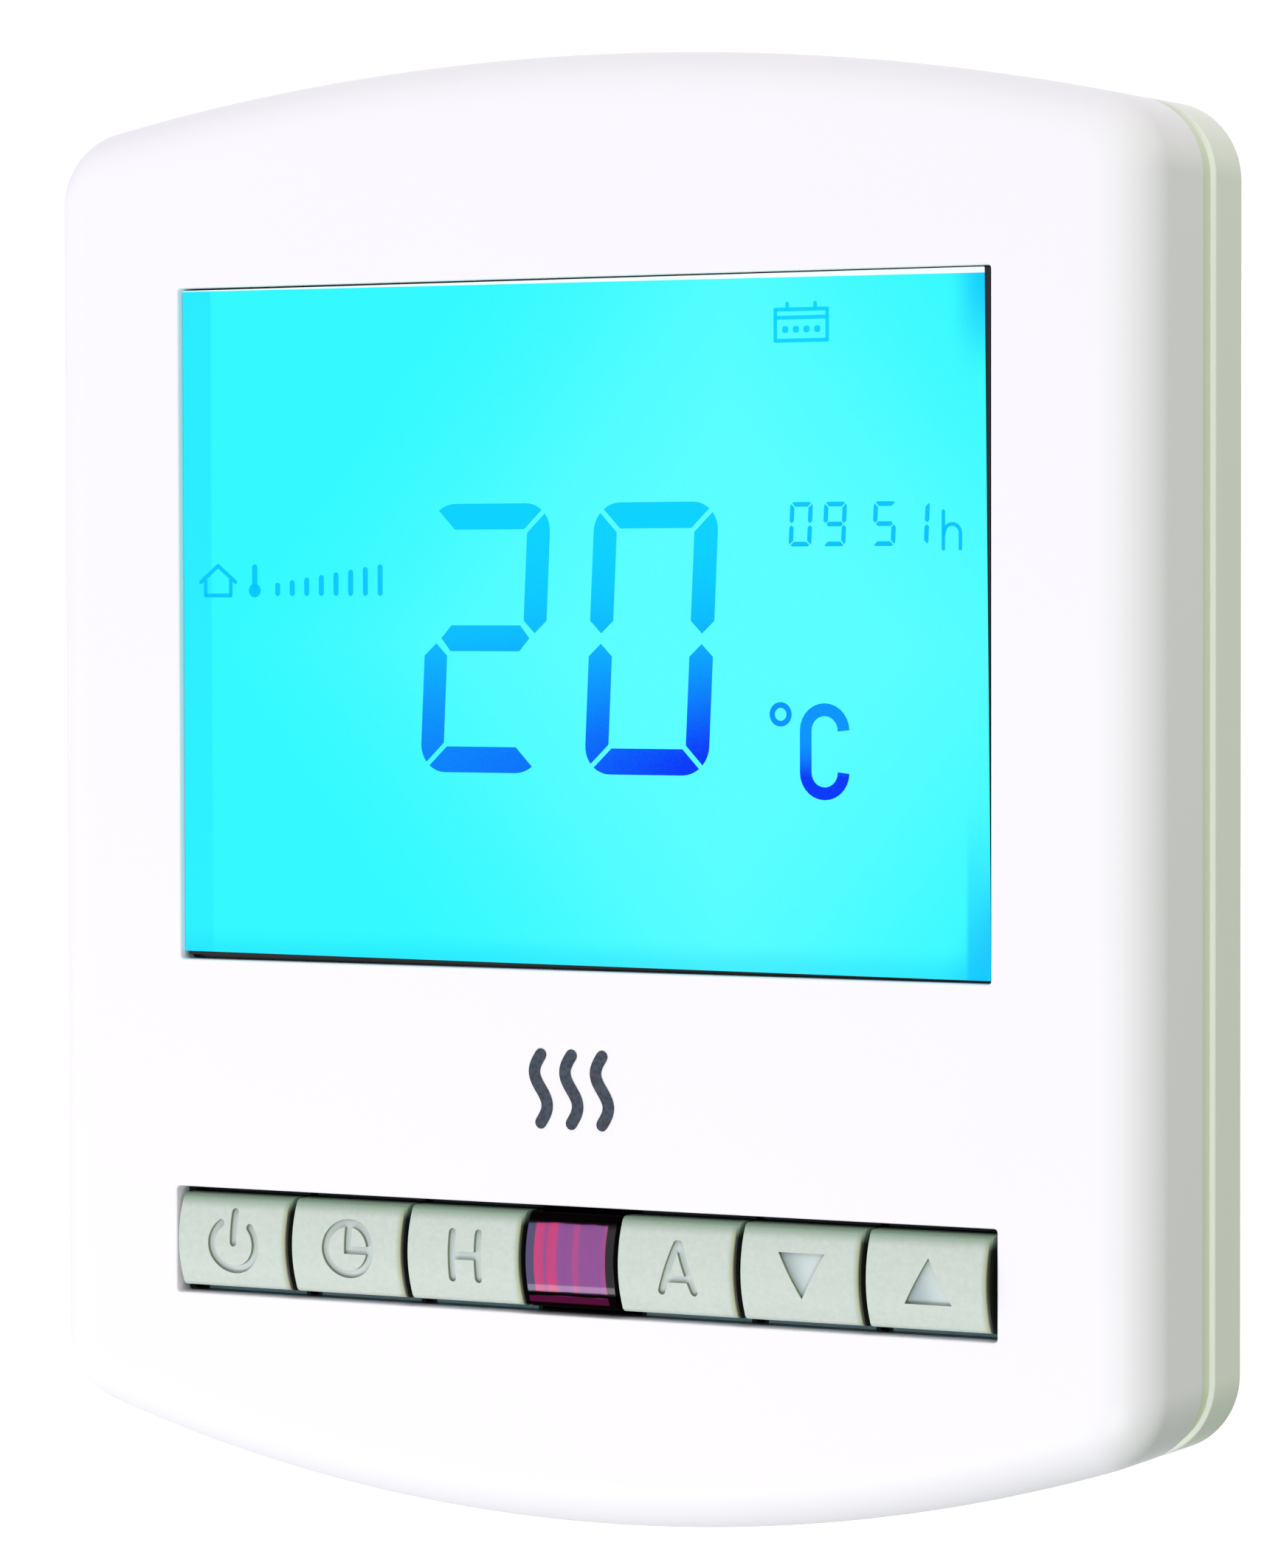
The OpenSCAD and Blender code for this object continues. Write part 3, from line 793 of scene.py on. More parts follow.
def degree_sign():
    """The degree ring and its C."""
    solids = hoop(15.96, 5.55, 0.83, 0.44, film_y - ink_t, film_y)
    cx, half, stroke = 19.27, 1.42, 0.87
    top_z, low_z = 4.47, 1.63
    path = turn(cx, top_z, half, 0, 180, 14) + turn(cx, low_z, half, 180, 360, 14)
    solids.append(ink(flat_ribbon(path, stroke)))
    return gather(solids)


def flat_ribbon(path, width):
    """Outline of a line of some width along a path, with square ends."""
    outline = ribbon(path, width)
    ends = 5
    n = len(path)
    return outline[:n] + outline[n + ends:2 * n + ends]


def time_digits():
    """Time of day in small digits, with the hour sign."""
    sizes = (1.7, 3.0, 0.32, 0.1, 0.35)
    solids = []
    for number, x in ((0, 17.5), (9, 20.05), (5, 23.75), (1, 26.2)):
        solids += digit(number, x, 18.4, *sizes)
    arch = [(28.1, 17.6)] + turn(28.75, 17.75, 0.6, 150, 0, 8) + [(29.35, 16.7)]
    solids.append(ink(ribbon([(28.1, 19.2), (28.1, 16.7)], 0.25)))
    solids.append(ink(ribbon(arch, 0.25)))
    return gather(solids)


def room_sign():
    """House with a thermometer beside it and a rising scale: the room's temperature."""
    low, mid, high = 13.65, 14.7, 15.75
    house = [(-29.8, mid), (-29.8, low), (-27.7, low), (-27.7, mid)]
    roof = [(-30.2, mid - 0.1), (-28.75, high), (-27.3, mid - 0.1)]
    solids = [ink(ribbon([a, b], 0.28)) for a, b in zip(house, house[1:])]
    solids += [ink(ribbon([a, b], 0.28)) for a, b in zip(roof, roof[1:])]
    solids.append(ink(ribbon([(-25.7, low + 0.5), (-25.7, high - 0.1)], 0.42)))
    solids.append(ink(turn(-25.7, low + 0.35, 0.5, 0, 330, 11)))
    for i in range(8):
        x = -23.8 + 1.2 * i
        solids.append(ink(ribbon([(x, low + 0.15), (x, low + 0.7 + 0.18 * i)], 0.4)))
    return gather(solids)


def day_sign():
    """Leaf of a calendar with its rings and days."""
    left, right, low, high = 15.6, 19.5, 30.8, 32.9
    frame_path = [(left, low), (right, low), (right, high), (left, high), (left, low)]
    solids = [ink(ribbon([a, b], 0.26)) for a, b in zip(frame_path, frame_path[1:])]
    solids.append(ink(ribbon([(left, high - 0.55), (right, high - 0.55)], 0.26)))
    solids += [ink(ribbon([(x, high), (x, high + 0.4)], 0.26)) for x in (left + 0.9, right - 0.9)]
    for i in range(4):
        solids.append(ink(round_box(0.45, 0.45, 0.1, left + 0.75 + 0.8 * i, low + 0.75, 1)))
    return gather(solids)


# ---------------------------------------------------------------- keys

sign_stroke = 0.56
sign_r = 2.1
sign_depth = 0.34
end_r = 0.75


def crowned_cap(x, w, edge, end_r):
    """A bar with a crowned front: its ends are well rounded and its long edges a little."""
    lean = asin(key_h / 2 / crown_r) * 180 / pi
    crown = turn(0, 0, crown_r, 90 - lean, 90 + lean, 24)
    section = [(key_top_y + crown_r - dz, keys_z + dy) for dy, dz in crown]
    section = [(flange_y + 0.2, keys_z + key_h / 2)] + section + [(flange_y + 0.2, keys_z - key_h / 2)]
    cap = bar(section, x - w / 2, x + w / 2)
    bevel_edges(cap, lambda e: is_sharp(e) and runs_along(e, w / 2), edge, 3)
    return bevel_edges(cap, lambda e: is_sharp(e) and on_end(e, x, w), end_r, 6)


def is_sharp(edge, angle=35):
    return len(edge.link_faces) == 2 and edge.calc_face_angle(0) > radians(angle)


def runs_along(edge, length):
    """Whether an edge reaches further than a length along X."""
    return abs(edge.verts[0].co.x - edge.verts[1].co.x) > length * MM


def on_end(edge, x, w):
    """An edge round a key's end that isn't on its rear face."""
    front = all(v.co.y / MM < flange_y - 0.01 for v in edge.verts)
    return front and all(abs(abs(v.co.x / MM - x) - w / 2) < 0.01 for v in edge.verts)


def bevel_edges(obj, test, width, segments):
    """Rounds the edges that pass a test."""
    with editing(obj, "EDGE"):
        choose(obj, "edges", test)
        bpy.ops.mesh.bevel(offset=width * MM, segments=segments, affect="EDGES", clamp_overlap=True)
    return obj


def engraving(solids, depth):
    """Tool that cuts a sign to an even depth below the crown."""
    tool = solids[0]
    for solid in solids[1:]:
        fuse(tool, solid)
    deselect()
    bpy.ops.mesh.primitive_cylinder_add(
        vertices=160,
        radius=(crown_r - depth) * MM,
        depth=80 * MM,
        location=(0, (key_top_y + crown_r) * MM, keys_z * MM),
        rotation=(0, pi / 2, 0),
    )
    return cut(tool, settle(started()))


def sign(outline):
    """Tool for part of a sign, deeper than the sign."""
    return slab(outline, key_top_y - 1, key_top_y + 1.2)


def line(x, z, width=sign_stroke):
    """A straight stroke of a sign, between two points given as pairs of x and z."""
    return sign(ribbon([(x[0], z[0]), (x[1], z[1])], width))


def arc_band(cx, cz, outer, inner, start, end, steps):
    """Part of a flat ring."""
    return turn(cx, cz, outer, start, end, steps) + turn(cx, cz, inner, end, start, steps)


def power_sign(x, z):
    """A ring open at the top, with a bar in the gap."""
    z -= 0.15
    arc = turn(x, z, sign_r - sign_stroke / 2, 126, 403, 32)
    return [sign(ribbon(arc, sign_stroke)), line((x, x), (z + 0.12, z + 2.28))]


def clock_sign(x, z):
    """A ring with a square-ended hand up and another across, both as far as the ring."""
    outer, inner, half = sign_r, sign_r - sign_stroke, sign_stroke / 2
    low, high, reach = -0.35, sign_stroke - 0.35, inner + 0.1
    hands = [(-half, low), (reach, low), (reach, high), (half, high), (half, reach), (-half, reach)]
    ring = sign(arc_band(x, z, outer, inner, 30, 210, 24))
    rest = sign(arc_band(x, z, outer, inner, 209.9, 390.1, 24))
    return [ring, rest, sign([(x + a, z + b) for a, b in hands])]


def heat_sign(x, z):
    """An H with round-ended strokes."""
    half_w, half_h = 1.04, 1.6
    posts = [line((x + side, x + side), (z - half_h, z + half_h)) for side in (-half_w, half_w)]
    return posts + [line((x - half_w, x + half_w), (z, z))]


def auto_sign(x, z):
    """An A with round-ended strokes."""
    legs = [line((x + side * 1.25, x + side * 0.1), (z - 1.62, z + 1.62)) for side in (-1, 1)]
    return legs + [line((x - 0.9, x + 0.9), (z - 0.78, z - 0.78), 0.46)]


def arrow_sign(x, z, up):
    """A solid triangle that points up, or down where up is -1."""
    corners = [(-1.75, -1.5 * up), (1.75, -1.5 * up), (0, 1.65 * up)]
    return [sign([(x + a, z + b) for a, b in corners])]


def down_sign(x, z):
    return arrow_sign(x, z, -1)


def up_sign(x, z):
    return arrow_sign(x, z, 1)


sign_makers = {
    "power": power_sign,
    "clock": clock_sign,
    "heat": heat_sign,
    "auto": auto_sign,
    "down": down_sign,
    "up": up_sign,
}


def flange(x, w):
    """Wide rear part of a key, which keeps it in."""
    low = (x - w / 2, flange_y, keys_z - flange_h / 2)
    high = (x + w / 2, flange_y + flange_t, keys_z + flange_h / 2)
    return soften(block(low, high), 0.1, 2)


def key_parts():
    """A blank cap, and the flange and stem behind it, in the middle of the row."""
    stem = rod(0, keys_z, flange_y + flange_t / 2, flange_y + flange_t + 0.6, 3)
    return crowned_cap(0, key_w, 0.3, end_r), gather([flange(0, key_w - 0.2), stem])


def key_piece(name, blank, rear):
    """A key: crowned cap with its engraved sign, rear flange and stem."""
    x = key_x[key_names.index(name)]
    cap = slide(copy(blank), x)
    cut(cap, engraving(sign_makers[name](x, keys_z), sign_depth))
    return smooth(gather([cap, slide(copy(rear), x)]))


def window_piece():
    """Infrared window: a polished crowned bar with its rear flange."""
    w = window_high.x - window_low.x
    return smooth(gather([crowned_cap(0, w, 0.25, 0.45), flange(0, w)]))


# ---------------------------------------------------------------- mark


def heat_waves():
    """Three rising heat waves, printed between the display and the keys."""
    low, high = span("cover_emblem")
    mid = (low.z + high.z) / 2
    width, swing, steps = 0.9, 0.5, 24
    rise = high.z - low.z - width
    turns = [i / steps for i in range(steps + 1)]
    solids = []
    for x in (-2.4, 0, 2.4):
        wave = [(x + swing * sin(2 * pi * t), mid + rise * (t - 0.5)) for t in turns]
        solids.append(slab(ribbon(wave, width), front_y - 0.05, front_y))
    return smooth(soften(gather(solids), 0.03, 2))


# ---------------------------------------------------------------- hand over


def hand_over(piece, name, body, finish, stands_for=()):
    """Names a finished piece, gives it its finish and puts it on its body."""
    piece.name = name
    piece.data.name = name
    piece.data.materials.clear()
    piece.data.materials.append(finish.material)
    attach(piece, body)
    if stands_for:
        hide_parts(*stands_for)


def case_plastic():
    return moulded("case_white", paint(244, 241, 247), 0.42, grain=6, depth=0.006, drift=0.01)


def plate_plastic():
    """Plate's plastic, with painted shade in the groove along the seam, a little darker and greener
    there.
    """
    finish = moulded("plate_white", paint(238, 241, 233), 0.45, grain=6, depth=0.007)
    # Painted shade: the groove along the seam is tinted darker and greener.
    groove = finish.between(finish.y, seam_y, seam_y + 0.1)
    groove = groove * finish.between(finish.y, ledge_y - 0.1, ledge_y - 0.05, 1, 0)
    drifting = finish.noise(0.06, detail=2)
    plain = finish.mix(drifting, paint(236, 239, 231), paint(239, 242, 234))
    finish.set("Base Color", finish.mix(groove, plain, paint(224, 232, 208)))
    return finish


def key_plastic():
    """Pale grey-green plastic: grained crown, smooth engraved floors; painted shade on the key ends,
    the gaps, the top of the crown, the sign walls and the arrow floors; painted light and shade on the
    flange behind, with painted shadow between flanges.
    """
    finish = Finish("key_grey", paint(200, 208, 196), 0.42)
    coarse = finish.noise(2.4, detail=2, roughness=0.55)
    fine = finish.noise(6, detail=2)
    colour = finish.mix(coarse, paint(189, 200, 191), paint(208, 217, 211))
    up = finish.z - keys_z
    back = finish.y - (key_top_y + crown_r)
    sunk = crown_r - (up * up + back * back) ** 0.5
    along = finish.offset_in_key()
    # Painted shade: each key's end goes olive where its rounded end turns away from the light.
    end = finish.between(along * sign_of_x(finish), key_w / 2 - end_r, key_w / 2 - 0.1, 0, 1)
    colour = finish.mix(end, colour, paint(158, 164, 118))
    # Painted shadow: each key's end goes nearly black next to the gap between keys.
    gap = finish.between(along * sign_of_x(finish), key_w / 2 - 0.3, key_w / 2 - 0.1, 0, 1)
    colour = finish.mix(gap, colour, paint(20, 24, 14))
    # Painted shade: the top of each crown is darkened where less light falls on it.
    crown_top_shade = finish.between(up, 2.2, 3.3, 0, 1)
    colour = finish.mix(crown_top_shade, colour, paint(132, 158, 136))
    inside = finish.between(abs(along), 2.5, 2.6, 1, 0) * finish.between(abs(up), 2.5, 2.6, 1, 0)
    # Painted shade: the walls of the engraved signs are darkened to olive.
    sign_wall_shade = inside * finish.between(sunk, 0.03, 0.1, 0, 1) * finish.between(sunk, 0.26, 0.32, 1, 0)
    floor = inside * finish.between(sunk, 0.28, 0.33, 0, 1)
    colour = finish.mix(sign_wall_shade, colour, paint(128, 138, 104))
    arrows = finish.between(finish.x, key_x[4] - 4, key_x[4] - 3.9)
    # Painted shade: the floors of the arrow signs are darker towards their lower left.
    arrow_floor_shade = arrows * finish.between(along + up * 0.3, -1.6, 0.9, 1, 0)
    colour = finish.mix(floor, colour, finish.mix(arrow_floor_shade, paint(204, 216, 216), paint(160, 176, 178)))
    # Painted light and shade on the flange behind the face: lit pale cyan below and shaded dark above,
    # with painted shadow in the gaps between flanges.
    shade = finish.between(finish.y, key_top_y + 1.6, key_top_y + 2.6, 0, 1)
    ledge = finish.mix(finish.between(up, -1, 1, 0, 1), paint(196, 240, 250), paint(6, 28, 38))
    notch_shadow = finish.between(abs(along), key_w / 2 - 0.5, key_w / 2 - 0.45, 0, 1)
    colour = finish.mix(shade, colour, finish.mix(notch_shadow, ledge, paint(3, 5, 8)))
    finish.set("Base Color", colour)
    finish.set("Roughness", 0.34 + coarse * 0.2)
    finish.bump((coarse * 0.7 + fine * 0.3) * (1 - floor), 0.05)
    return finish


def sign_of_x(finish):
    """1 on the right half of the part and -1 on the left half."""
    return (finish.x > 0.0) * 2.0 - 1.0


def frame_plastic():
    # Painted shade: the frame's grey-blue is taken from the shaded ledge round the keys.
    return moulded("key_frame_grey", paint(96, 110, 116), 0.4, grain=4, depth=0.006, drift=0.1)


def film_glow():
    """Backlit film: even cyan, bluer along the left strip and in the right corners."""
    finish = Finish("display_face", (0.0, 0.01, 0.02), 0.4, Specular_IOR_Level=0.05)
    x, z = finish.x, finish.z
    left, right = -display_w / 2, display_w / 2
    low_z, high_z = display_z - display_h / 2, display_z + display_h / 2
    glow = finish.between(abs(x - 12) + abs(z - 10) * 0.8, 8, 42, 1, 0)
    grit = finish.noise(4, detail=3)
    colour = finish.mix(glow, paint(50, 250, 254), paint(92, 255, 255))
    colour = finish.mix(grit * 0.12, colour, paint(0, 210, 255))
    strip = finish.between(x, left + 2.3, left + 2.6, 0.35, 0)
    strip = strip * finish.between(z, low_z, high_z, 0.6, 1)
    colour = finish.mix(strip, colour, paint(0, 205, 255))
    upper = finish.between(x, right - 3.4, right - 0.8, 0, 0.8)
    upper = upper * finish.between(z, high_z - 8, high_z - 1, 0, 1)
    colour = finish.mix(upper, colour, paint(0, 195, 255))
    lower = finish.between(x, right - 2.1, right - 1.7, 0, 0.6)
    lower = lower * finish.between(z, low_z + 13, low_z + 2, 0, 1)
    tip = right - low_z * 0.6
    corner_glow = finish.between(x - z * 0.6, tip - 5, tip - 0.5, 0, 0.45)
    colour = finish.mix(lower, colour, paint(0, 190, 255))
    colour = finish.mix(corner_glow, colour, paint(0, 170, 255))
    foot = finish.between(z, low_z + 2.5, low_z + 0.4, 0, 0.35)
    colour = finish.mix(foot, colour, paint(0, 205, 255))
    # Painted highlight: a near-white line along the film's top edge.
    below_top = finish.z - (high_z - 0.62) - (x - left) * 0.0012
    rim = finish.between(below_top + (x - left) * 0.0055, 0.38, 0.42, 0, 1)
    colour = finish.mix(rim, colour, paint(245, 255, 255))
    finish.set("Emission Color", colour)
    finish.set("Emission Strength", 1.0)
    return finish


def segment_ink(name, top, foot, high, low, power):
    """Lit liquid crystal: paler at the top and deeper at the foot and to the right."""
    finish = Finish(name, (0.0, 0.005, 0.02), 0.4, Specular_IOR_Level=0.05)
    depth = finish.between(finish.z, high, low, 0, 1) ** power
    side = finish.between(finish.x, -14, 22, 0.7, 1.15)
    grit = finish.noise(7, detail=2) * 0.1 - 0.05
    finish.set("Emission Color", finish.mix(depth * side + grit, top, foot))
    finish.set("Emission Strength", 1.0)
    return finish


def window_red():
    """Dark plum plastic with pink streaks, clear in the middle; near black round its rim as painted
    shade, with a painted sheen over the middle and a painted reflection down its left end.
    """
    finish = Finish("infrared_red", paint(30, 2, 10), 0.1, Specular_IOR_Level=0.01)
    x, up = finish.x, finish.z - keys_z
    wobble = (finish.noise(0.5, detail=1) - 0.5) * 0.25
    plum, pink, rose = paint(142, 74, 148), paint(208, 56, 118), paint(178, 68, 136)
    stops = [(0.0, pink), (0.12, pink), (0.15, plum), (0.19, pink), (0.29, pink), (0.33, plum)]
    stops += [(0.52, plum), (0.55, rose), (0.6, rose), (0.64, plum), (0.93, plum), (1.0, rose)]
    streaks = finish.ramp((x + 2.8) / 5.6, stops)
    # Painted sheen: a pale plum haze over the middle stands in for the reflection of the bright
    # surroundings.
    haze = finish.noise(1.2, detail=2, stretch=(1.0, 0.05, 0.2))
    core = finish.mix(haze * 0.5, streaks, paint(112, 52, 114))
    # Painted reflection: a grey-violet band down the left end, where the rounded end reflects its
    # surroundings.
    left_edge_reflection = finish.between(x, -2.85, -2.75, 1, 0)
    core = finish.mix(left_edge_reflection, core, paint(74, 66, 104))
    black = paint(5, 1, 2)
    # Painted shade: outside the clear middle the window is painted near black, where it is seen deep
    # through the plastic.
    clear = finish.between(up + wobble, 2.5, 2.65, 1, 0) * finish.between(up, -3.0, -2.9, 0, 1)
    clear = clear * finish.between(x, 2.75, 2.85, 1, 0)
    lower = finish.between(up, -2.5, -2.4, 1, 0)
    core = finish.mix(lower, core, paint(80, 14, 52))
    line_dark = finish.between(up + wobble, -2.5, -2.42, 0, 1)
    line_dark = line_dark * finish.between(up + wobble, -2.2, -2.1, 1, 0)
    core = finish.mix(line_dark, core, black)
    finish.set("Base Color", finish.mix(clear, black, core))
    polished = finish.between(up, 2.2, 2.8, 0.8, 0) * finish.between(up, -2.3, -2.1, 0, 1)
    finish.set("Coat Weight", polished)
    finish.set("Coat Roughness", 0.06)
    return finish


def mark_ink():
    """Dark blue-grey ink with a leathery grain."""
    finish = Finish("emblem_ink", paint(40, 50, 66), 0.5)
    leather = finish.cells(3.2)
    finish.set("Base Color", finish.mix(leather, paint(26, 32, 44), paint(62, 72, 90)))
    finish.bump(leather, 0.03)
    return finish


case_white = case_plastic()
plate_white = plate_plastic()
film = film_glow()
hand_over(cover_shell(), "front_cover_shell", "front_half", case_white, ["front_cover"])
hand_over(plate_shell(), "back_cover_shell", "wall_plate", plate_white, ["back_cover"])
hand_over(display_film(), "display_film", "front_half", film, ["display_polariser"])
digit_ink = segment_ink("digit_ink", paint(2, 209, 252), paint(0, 52, 248), 20, 1, 1.5)
unit_ink = segment_ink("unit_ink", paint(0, 148, 251), paint(0, 52, 246), 5, 0.6, 2)
faint_ink = segment_ink("faint_ink", paint(8, 212, 254), paint(0, 190, 255), 34, 10, 1)
hand_over(big_digits(), "temperature_digits", "front_half", digit_ink)
hand_over(degree_sign(), "degree_sign", "front_half", unit_ink)
hand_over(time_digits(), "time_digits", "front_half", faint_ink)
hand_over(room_sign(), "room_sign", "front_half", faint_ink)
hand_over(day_sign(), "day_sign", "front_half", faint_ink)
key_grey = key_plastic()
blank_cap, rear_part = key_parts()
for name in key_names:
    key = key_piece(name, blank_cap, rear_part)
    hand_over(key, name + "_key_cap", name + "_key", key_grey, [name + "_key"])
for pattern in (blank_cap, rear_part):
    bpy.data.objects.remove(pattern)
red = window_red()
dark = mark_ink()
hand_over(window_piece(), "infrared_window_lens", "front_half", red, ["infrared_window"])
hand_over(heat_waves(), "heat_wave_mark", "front_half", dark, ["cover_emblem"])

# ---------------------------------------------------------------- finishes inside


def metal(name, colour, roughness=0.32, stretch=(1, 1, 1), depth=0.004):
    """Plated metal with drawn or rolled marks and slight tarnish."""
    finish = Finish(name, colour, roughness, Metallic=1.0)
    marks = finish.noise(6, detail=4, stretch=stretch)
    tarnish = finish.noise(0.5, detail=3)
    dull = tuple(v * 0.72 for v in colour)
    finish.set("Base Color", finish.mix(tarnish, dull, colour))
    finish.set("Roughness", marks * 0.22 + (roughness - 0.1))
    finish.bump(marks, depth)
    return finish


def turned_steel():
    """Zinc-plated screws, with faint rings and a trace of yellow."""
    finish = metal("screw_steel", paint(205, 206, 204), 0.3)
    blush = finish.noise(1.1, detail=2)
    finish.set("Base Color", finish.mix(blush, paint(196, 194, 182), paint(214, 216, 218)))
    return finish


def bordered_glass():
    """Display glass: pale inside and printed black round its border."""
    finish = Finish("display_glass", paint(150, 190, 196), 0.12, Specular_IOR_Level=0.4)
    beside = finish.between(abs(finish.x), display_w / 2 - 1.4, display_w / 2 - 1.2)
    above = finish.between(abs(finish.z - display_z), display_h / 2 - 1.4, display_h / 2 - 1.2)
    haze = finish.noise(0.3, detail=2)
    clear = finish.mix(haze, paint(138, 180, 188), paint(164, 204, 208))
    finish.set("Base Color", finish.mix((beside + above) > 0.5, clear, paint(6, 8, 10)))
    finish.set("Roughness", haze * 0.1 + 0.08)
    return finish


def printed_guide():
    """Clear acrylic light guide with rows of white dots on its back."""
    finish = Finish("light_guide", paint(190, 230, 238), 0.14)
    dot = finish.from_axis(0, 0, finish.off_line(finish.x, 1.6), finish.off_line(finish.z, 1.6))
    spots = finish.between(dot, 0.28, 0.34, 1, 0)
    depth = finish.noise(0.2, detail=1)
    clear = finish.mix(depth, paint(176, 222, 232), paint(204, 238, 244))
    finish.set("Base Color", finish.mix(spots, clear, paint(246, 250, 250)))
    finish.set("Roughness", spots * 0.4 + 0.14)
    return finish


def zebra_rubber():
    """Pink contact rubber with a fine striped conducting core."""
    finish = Finish("contact_rubber", paint(214, 150, 160), 0.6)
    stripe = finish.between(finish.off_line(finish.x, 0.3), 0.06, 0.09)
    grain = finish.noise(5, detail=2)
    pink = finish.mix(grain, paint(206, 140, 150), paint(224, 164, 172))
    finish.set("Base Color", finish.mix(stripe, paint(58, 50, 54), pink))
    finish.bump(stripe, 0.02)
    return finish


def led_dome():
    """Pale lens with a yellow phosphor tint in patches."""
    finish = Finish("led_lens", paint(240, 236, 206), 0.2)
    tint = finish.noise(0.8, detail=1)
    finish.set("Base Color", finish.mix(tint, paint(250, 240, 190), paint(238, 244, 246)))
    finish.set("Roughness", tint * 0.2 + 0.1)
    return finish


def solder_mask():
    """Green board: copper tracks under the mask, with tinned pads between them."""
    finish = Finish("board_green", paint(16, 84, 44), 0.35)
    across = finish.between(finish.off_line(finish.z, 1.27), 0.2, 0.25, 1, 0)
    along = finish.between(finish.off_line(finish.x, 1.27), 0.2, 0.25, 1, 0)
    patches = finish.noise(0.09, detail=0) > 0.5
    tracks = across * patches + along * (patches * -1.0 + 1.0)
    gaps = finish.noise(0.16, detail=1) > 0.47
    pads = finish.between(finish.cells(0.22), 0.09, 0.11, 1, 0)
    weave = finish.noise(3, detail=2)
    mask = finish.mix(weave, paint(12, 74, 38), paint(20, 92, 50))
    colour = finish.mix(tracks * gaps, mask, paint(34, 122, 62))
    finish.set("Base Color", finish.mix(pads, colour, paint(206, 204, 196)))
    finish.set("Metallic", pads)
    finish.set("Roughness", weave * 0.15 + 0.28)
    finish.bump(tracks * gaps * 0.6 + pads, 0.03)
    return finish


def chip_case():
    """Black moulding compound with a fine grain and a round pin-one dimple."""
    finish = Finish("chip_black", paint(30, 30, 33), 0.5)
    chip = middle("microcontroller")
    off_dimple = finish.from_axis(chip.x + 4.4, chip.z + 4.4, finish.x, finish.z)
    dimple = finish.between(off_dimple, 0.5, 0.6, 1, 0)
    grain = finish.noise(7, detail=3)
    colour = finish.mix(grain, paint(24, 24, 27), paint(42, 42, 45))
    finish.set("Base Color", finish.mix(dimple, colour, paint(66, 66, 68)))
    finish.set("Roughness", dimple * -0.25 + grain * 0.15 + 0.45)
    finish.bump(grain - dimple, 0.02)
    return finish


def battery_case():
    """Coin cell with spun rings on its face."""
    finish = metal("battery_steel", paint(200, 200, 202), 0.28)
    cell = middle("backup_battery")
    radius = finish.from_axis(cell.x, cell.z, finish.x, finish.z)
    ring = finish.between(abs(radius - 8.6), 0.15, 0.3, 1, 0)
    rings = finish.off_line(radius, 0.22) * 4.0
    finish.set("Roughness", rings * 0.3 + ring * 0.2 + 0.2)
    finish.bump(rings * 0.2 - ring, 0.05)
    return finish


def sintered_ferrite():
    """Dark ferrite with sparkling grains."""
    finish = Finish("ferrite", paint(48, 48, 50), 0.45, Metallic=0.4)
    grain = finish.cells(4)
    finish.set("Base Color", finish.mix(grain, paint(36, 36, 38), paint(78, 78, 82)))
    finish.set("Roughness", grain * 0.3 + 0.35)
    finish.bump(grain, 0.03)
    return finish


def wound_tape():
    """Amber tape over the winding, with its laps showing as darker lines."""
    finish = Finish("winding_tape", paint(222, 158, 40), 0.25)
    laps = finish.between(finish.off_line(finish.y, 2.4), 0.05, 0.12, 1, 0)
    turns = finish.off_line(finish.y, 0.4) * 3.0
    colour = finish.mix(turns, paint(206, 138, 30), paint(232, 172, 58))
    finish.set("Base Color", finish.mix(laps, colour, paint(150, 92, 18)))
    finish.set("Roughness", turns * 0.15 + 0.2)
    finish.bump(turns * 0.5 - laps, 0.04)
    return finish


def shrink_sleeve():
    """Dark blue sleeve with a pale stripe, and a bare end with its cross-shaped vent."""
    finish = Finish("capacitor_sleeve", paint(22, 30, 74), 0.25)
    low, high = span("smoothing_capacitors")
    mid_z = (low.z + high.z) / 2
    d = (high.x - low.x) / 2
    offset = finish.off_line(finish.x - (low.x + d / 2), d)
    past_low = finish.x - low.x
    snapped = finish.node("ShaderNodeMath", {"operation": "SNAP"}, {0: past_low, 1: d})
    right = past_low - snapped - d / 2
    stripe = finish.between(right, d * 0.38, d * 0.4)
    wrinkle = finish.noise(1.2, detail=3)
    colour = finish.mix(wrinkle, paint(18, 26, 64), paint(30, 40, 90))
    colour = finish.mix(stripe, colour, paint(176, 182, 196))
    radius = finish.from_axis(0, mid_z, offset, finish.z)
    end = finish.between(radius, d * 0.36, d * 0.38, 1, 0)
    end = end * finish.between(finish.y, high.y - 0.3, high.y - 0.2)
    slots = (offset < 0.12) + (abs(finish.z - mid_z) < 0.12)
    colour = finish.mix(end, colour, finish.mix(slots, paint(190, 192, 196), paint(96, 98, 102)))
    finish.set("Base Color", colour)
    finish.set("Metallic", end)
    finish.bump(wrinkle * 0.5 - end * slots, 0.05)
    return finish


def fuse_glass():
    """Clear tube with its thin wire and a little soot inside."""
    finish = Finish("fuse_glass", paint(226, 232, 232), 0.06, Coat_Weight=0.5)
    tube = middle("fuse_tube")
    wire = finish.between(finish.from_axis(tube.z, tube.y, finish.z, finish.y), 0.3, 0.4, 1, 0)
    haze = finish.noise(0.7, detail=2)
    clear = finish.mix(haze, paint(206, 216, 218), paint(236, 240, 240))
    streak = finish.between(abs(finish.z - tube.z), 0.1, 0.18, 1, 0)
    finish.set("Base Color", finish.mix(streak + wire, clear, paint(110, 112, 114)))
    finish.set("Roughness", haze * 0.1 + 0.03)
    return finish


